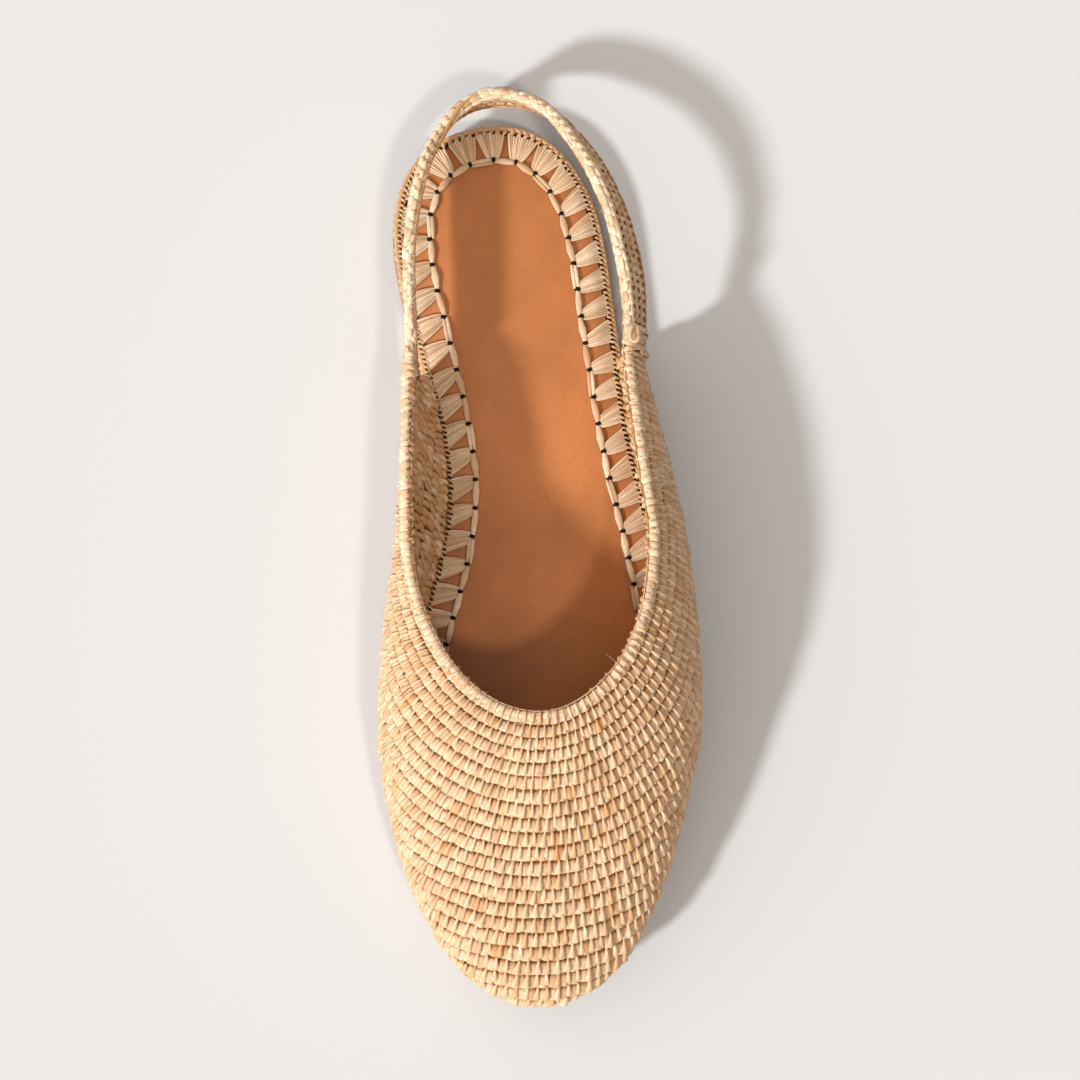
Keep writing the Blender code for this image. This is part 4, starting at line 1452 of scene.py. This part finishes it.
def make_fans(sizes):
    """Fans of strands from knots on the insole out to holes in the rim, and a chain from knot to knot."""
    outline = outline_loop(sections=110)
    hole_loop = inset(outline, hole_insets(sizes, outline) + 0.1 * MM)
    holes = closed(hole_loop)
    whole = arc_lengths(holes)[-1]
    knots_at = fan_knots(sizes)
    feet = np.array([nearest_place(hole_loop, knot) for knot in knots_at])
    spans = ((np.roll(feet, -1) - np.roll(feet, 1)) % whole) / 2
    strands = []
    for k, knot in enumerate(knots_at):
        at_heel = ease((knot[1] / LENGTH - 0.88) / 0.08)
        filled = 0.84 if knot[0] > 0 else 0.92
        filled += (0.97 - filled) * at_heel
        start = feet[k] - spans[k] * (filled - 0.10 + (0.10 - filled / 2) * at_heel)
        count = sizes.fan_strands + (k * 5) % 3 - 1 + round(at_heel)
        width = spans[k] * filled / count
        for i in range(count):
            share = (i + 0.5) / count
            end = along_line(holes, [(start + spans[k] * filled * share) % whole])[0]
            strands.append(fan_strand(sizes, knot, end, share - 0.5, width, k * 2.3 + i * 1.9))
    stranded("insole_fans", strands, raffia_material("fan_raffia"), 51, flatness=0.5, sides=6)
    make_chain(sizes, knots_at)


def make_chain(sizes, knots_at):
    """Chain from knot to knot, its knots, and fine black thread beside some of its links."""
    chain, threads = [], []
    for k, knot in enumerate(knots_at):
        aim = knots_at[(k + 1) % len(knots_at)] - knot
        sideways = np.array([-aim[1], aim[0]]) / np.linalg.norm(aim)
        slant = 0.32 * MM * math.sin(k * 2.1)
        full = 1.12 + 0.14 * math.sin(k * 1.7)
        widths = np.interp(range(7), [0, 1.5, 3, 4.5, 6], [0.62, 0.95, full, 0.95, 0.66])
        for side in (-1, 1) if k % 4 == 2 else (0,):
            points = []
            for t in np.linspace(0.05, 0.96, 7):
                aside = side * sizes.chain_width * 0.25 + slant * (1 - 2 * t)
                height = BED + 0.3 * MM + sizes.chain_arch * math.sin(math.pi * t) ** 0.5
                points.append(raised(knot + aim * t + sideways * aside, height))
            width = sizes.chain_width * (0.58 if side else 0.95)
            chain.append(line_along(points, UP, width * widths))
        if knot[0] > 0 and k % 3 != 1 and knot[1] < LENGTH * 0.85:
            points = []
            for t in np.linspace(0, 1, 9):
                aside = (0.2 + (0.7 + 0.4 * math.sin(k)) * math.sin(math.pi * t)) * MM
                points.append(raised(knot + aim * t + sideways * aside, BED + THREAD_RISE))
            threads.append(line_along(points, UP, 0.28 * MM))
    stranded("insole_chain", chain, raffia_material("fan_raffia"), 52)
    make_knots(sizes.knot_size, knots_at)
    stranded("insole_thread", threads, thread_and_hole_shade_material(), 53, flatness=1.0, sides=6)


def make_knots(size, knots_at):
    """Black thread wound over the chain at each knot."""
    lines = []
    for knot, ahead in zip(knots_at, np.roll(knots_at, -1, axis=0)):
        aim = (ahead - knot) / np.linalg.norm(ahead - knot)
        across = np.array([-aim[1], aim[0]])
        knot = knot + across * 0.25 * MM
        skew = 0.35 * math.sin(knot[1] * 900)
        aim, across = aim + across * skew, across - aim * skew
        for turn in (-0.30, 0.0, 0.30):
            points, facing = [], []
            for angle in np.linspace(0.05 * math.pi, 0.95 * math.pi, 7):
                plan = knot + aim * turn * size + across * math.cos(angle) * size * 0.62
                points.append(raised(plan, BED + THREAD_RISE + math.sin(angle) * size * 0.62))
                facing.append((*(across * math.cos(angle)), math.sin(angle)))
            lines.append(line_along(points, facing, size * 0.42))
    stranded("insole_knots", lines, thread_and_hole_shade_material(), 54, flatness=0.8, sides=6)


# Stage


def make_stage(light):
    """Floor, sky, lights and camera."""
    corners = [(x * FLOOR_REACH, y * FLOOR_REACH, 0) for x, y in ((-1, -1), (1, -1), (1, 1), (-1, 1))]
    data = bpy.data.meshes.new("floor")
    data.from_pydata(corners, [], [(0, 1, 2, 3)])
    paint = new_material("floor_paint", Base_Color=(*light.floor_color, 1), Roughness=0.9)[0]
    data.materials.append(paint)
    linked("floor", data)

    world = bpy.data.worlds.new("studio")
    world.use_nodes = True
    sky = world.node_tree.nodes["Background"].inputs
    sky["Color"].default_value = (*light.sky_color, 1)
    w = Wiring(world.node_tree)
    around = w.add("ShaderNodeTexCoord").outputs["Generated"]
    across = w.add("ShaderNodeSeparateXYZ", {0: around}).outputs["X"]
    tilted = w.math("MULTIPLY_ADD", across, -light.sky_tilt * light.sky_strength, light.sky_strength)
    w.join(w.math("MAXIMUM", tilted, SKY_LEAST), sky["Strength"])
    bpy.context.scene.world = world

    for name in ("key", "fill"):
        lamp = bpy.data.lights.new(name, "SUN")
        lamp.energy = getattr(light, name + "_strength")
        lamp.angle = getattr(light, name + "_softness")
        lamp.color = getattr(light, name + "_color")
        travel = Vector(getattr(light, name + "_travel"))
        linked(name, lamp).rotation_euler = travel.to_track_quat("-Z", "Y").to_euler()
    bpy.context.scene.view_settings.view_transform = "Standard"

    camera = bpy.data.cameras.new("camera")
    camera.lens = light.lens
    place = Vector(light.camera_place) - ORIGIN
    aim = (Vector(light.camera_target) - ORIGIN - place).normalized()
    right = aim.cross(Vector(light.camera_up)).normalized()
    turned = Matrix((right, right.cross(aim), -aim)).transposed().to_4x4()
    holder = linked("camera", camera)
    holder.matrix_world = Matrix.Translation(place) @ turned
    bpy.context.scene.camera = holder


# Settings, operators and panel


def length(name, description, default):
    return number(name, description, default, unit="LENGTH", precision=5)


def color(name, description, default):
    return vector(name, description, default, subtype="COLOR", min=0, max=1)


def number(name, description, default, **more):
    return FloatProperty(name=name, description=description, default=default, **more)


def count(name, description, default, least):
    return IntProperty(name=name, description=description, default=default, min=least)


def vector(name, description, default, **more):
    return FloatVectorProperty(name=name, description=description, default=default, **more)


class SlingbackSizes(bpy.types.PropertyGroup):
    first_row: length("First row", "Height of the row of stitches beside the throat", 0.0033)
    last_row: length("Last row", "Height of the rows of stitches further down", 0.0041)
    stitch_width: length("Stitch width", "Width of a stitch beside the throat", 0.00205)
    stitch_growth: length("Stitch growth", "How much wider stitches get from row to row", 0.000042)
    stray_fibres: count("Stray fibres", "Loose fibres on the crochet", 90, 1)
    foot_row: length("Foot row", "Height of the two rows of stitches along the seam", 0.0024)
    wander: length("Wander", "How far rows stray from their line", 0.00022)
    core_depth: length("Core depth", "How deep the core lies under the outer face", 0.00080)
    core_thickness: length("Core thickness", "Thickness of the core between the stitches", 0.00050)
    rim_stitch: length("Rim stitch", "Width of a strand wound over the upper's edge", 0.0021)
    back_hole_pitch: length("Back hole pitch", "Distance between the holes behind the heel", 0.0020)
    rim_pitch: length("Rim pitch", "Distance between the slanted links round the heel's rim", 0.00125)
    strap_row: length("Strap row", "Height of a row of the strap", 0.0036)
    strap_stitch: length("Strap stitch", "Width of a stitch of the strap", 0.0024)
    strap_edge_stitch: length("Strap edge stitch", "Length of a link on top of the strap", 0.0030)
    edge_stitch: length("Edge stitch", "Width of a stitch round the sole", 0.0023)
    chain_inset: length("Chain inset", "Distance of the chain from the sole's edge", 0.0102)
    chain_width: length("Chain width", "Width of the chain on the insole", 0.0020)
    chain_arch: length("Chain arch", "How far the chain's links rise", 0.0006)
    spacing_inset: length("Spacing inset", "Distance from the edge at which fans are evenly spaced", 0.0068)
    fans: count("Fans", "Fans round the insole", 67, 3)
    first_knot: vector("First knot", "Place of a knot at the heel", (-0.0012, 0.2405), size=2, unit="LENGTH")
    wall_hole_shift: length("Wall hole shift", "How far holes lie inwards where the upper stands", 0.0008)
    hole_pitch: length("Hole pitch", "Distance between the holes in the rim", 0.00145)
    strap_inner_row: length("Strap inner row", "Height of a row inside the strap", 0.0016)
    fan_strands: count("Strands", "Strands of a fan", 9, 2)
    fan_bow: length("Fan bow", "How far the outer strands of a fan bow outwards", 0.0010)
    fan_arch: length("Fan arch", "How far the strands of a fan rise", 0.0005)
    knot_spread: length("Knot spread", "Width of a fan at its knot", 0.0016)
    knot_size: length("Knot size", "Size of the thread knots", 0.00108)
    hole_inset: length("Hole inset", "Distance of the holes from the sole's edge", 0.0020)


class SlingbackColors(bpy.types.PropertyGroup):
    raffia_light: color("Light raffia", "Colour of most strands", (0.65, 0.475, 0.318))
    # Palest strands: partly their own colour, partly painted highlight, made paler to stand for the light on
    # the rim and strap edges
    raffia_pale: color("Pale raffia", "Colour of the palest strands", (0.88, 0.72, 0.55))
    raffia_mid: color("Raffia", "Colour of darker strands", (0.53, 0.345, 0.20))
    raffia_warm: color("Orange raffia", "Colour of the odd orange strand", (0.57, 0.30, 0.115))
    # Painted shade: dark brown painted low down between the strands, where shade falls
    raffia_painted_shade: color("Painted raffia shade", "Colour low down between the strands", (0.34, 0.150, 0.048))
    insole_color: color("Insole", "Colour of the foot bed's leather", (0.500, 0.184, 0.0605))
    sole_color: color("Sole", "Colour of the sole's leather", (0.33, 0.18, 0.09))


class SlingbackStage(bpy.types.PropertyGroup):
    floor_color: color("Floor", "Colour of the floor", (0.59, 0.61, 0.638))
    sky_color: color("Sky", "Colour of the light from all sides", (1.0, 0.90, 0.80))
    fill_color: color("Fill", "Colour of the second light", (1.0, 0.89, 0.77))
    key_color: color("Key", "Colour of the main light", (1.0, 1.0, 0.99))
    sky_strength: number("Sky strength", "Light from all sides", 0.62)
    sky_tilt: number("Sky tilt", "How much darker the sky is on the outer side", 1.3)
    key_strength: number("Key strength", "Main light", 3.2)
    fill_strength: number("Fill strength", "Second light", 0.88)
    key_softness: number("Key softness", "Angle of the main light", 0.09, subtype="ANGLE")
    fill_softness: number("Fill softness", "Angle of the fill", 0.10, subtype="ANGLE")
    key_travel: vector("Key travel", "Way the light goes", (1.27, 0.87, -1.0))
    fill_travel: vector("Fill travel", "Way the fill goes", (-0.17, 0.49, -1.0))
    lens: number("Lens", "Focal length in millimetres", 89.0)
    camera_place: vector("Camera", "Place in the shoe's frame", (-0.0738, 0.0399, 0.755), unit="LENGTH")
    camera_target: vector("Target", "Where the camera looks", (0.006, 0.1275, 0.02), unit="LENGTH")
    camera_up: vector("Up", "Way up in the picture", (0.0482, 0.9988, 0.0))


class SLINGBACK_OT_upper(bpy.types.Operator):
    """Adds the crocheted upper with its wound rim"""

    bl_idname = "slingback.upper"
    bl_label = "Upper"

    def execute(self, context):
        make_upper(context.scene.slingback_sizes)
        make_rim(context.scene.slingback_sizes)
        make_stray_fibres(context.scene.slingback_sizes)
        return {"FINISHED"}


class SLINGBACK_OT_strap(bpy.types.Operator):
    """Adds the crocheted heel strap and the wraps at its ends"""

    bl_idname = "slingback.strap"
    bl_label = "Heel strap"

    def execute(self, context):
        make_strap(context.scene.slingback_sizes)
        make_wraps(context.scene.slingback_sizes)
        return {"FINISHED"}


class SLINGBACK_OT_sole(bpy.types.Operator):
    """Adds the outsole, heel, foot bed and edge row"""

    bl_idname = "slingback.sole"
    bl_label = "Sole"

    def execute(self, context):
        make_sole(context.scene.slingback_sizes)
        make_edge_row(context.scene.slingback_sizes)
        return {"FINISHED"}


class SLINGBACK_OT_fans(bpy.types.Operator):
    """Adds the raffia fans, chain and knots sewn over the insole's border"""

    bl_idname = "slingback.fans"
    bl_label = "Insole stitching"

    def execute(self, context):
        make_fans(context.scene.slingback_sizes)
        return {"FINISHED"}


class SLINGBACK_OT_stage(bpy.types.Operator):
    """Adds the floor, the lights and the camera"""

    bl_idname = "slingback.stage"
    bl_label = "Stage"

    def execute(self, context):
        make_stage(context.scene.slingback_stage)
        return {"FINISHED"}


OPERATORS = (
    SLINGBACK_OT_stage,
    SLINGBACK_OT_sole,
    SLINGBACK_OT_fans,
    SLINGBACK_OT_upper,
    SLINGBACK_OT_strap,
)


class SLINGBACK_PT_panel(bpy.types.Panel):
    """Lists the pieces of the shoe and their settings"""

    bl_idname = "SLINGBACK_PT_panel"
    bl_label = "Slingback flat"
    bl_space_type = "VIEW_3D"
    bl_region_type = "UI"
    bl_category = "Slingback"

    def draw(self, context):
        for operator in OPERATORS:
            self.layout.operator(operator.bl_idname)
        for group in GROUPS:
            settings = getattr(context.scene, group)
            box = self.layout.box()
            for title in settings.bl_rna.properties.keys():
                if title not in ("rna_type", "name"):
                    box.prop(settings, title)


GROUPS = {
    "slingback_sizes": SlingbackSizes,
    "slingback_colors": SlingbackColors,
    "slingback_stage": SlingbackStage,
}


def register():
    for group in (*GROUPS.values(), *OPERATORS, SLINGBACK_PT_panel):
        bpy.utils.register_class(group)
    for title, group in GROUPS.items():
        setattr(bpy.types.Scene, title, PointerProperty(type=group))


def unregister():
    for title in GROUPS:
        delattr(bpy.types.Scene, title)
    for group in (*GROUPS.values(), *OPERATORS, SLINGBACK_PT_panel):
        bpy.utils.unregister_class(group)


def main():
    register()
    bpy.ops.slingback.stage()
    bpy.ops.slingback.sole()
    bpy.ops.slingback.fans()
    bpy.ops.slingback.upper()
    bpy.ops.slingback.strap()


if __name__ == "__main__":
    main()
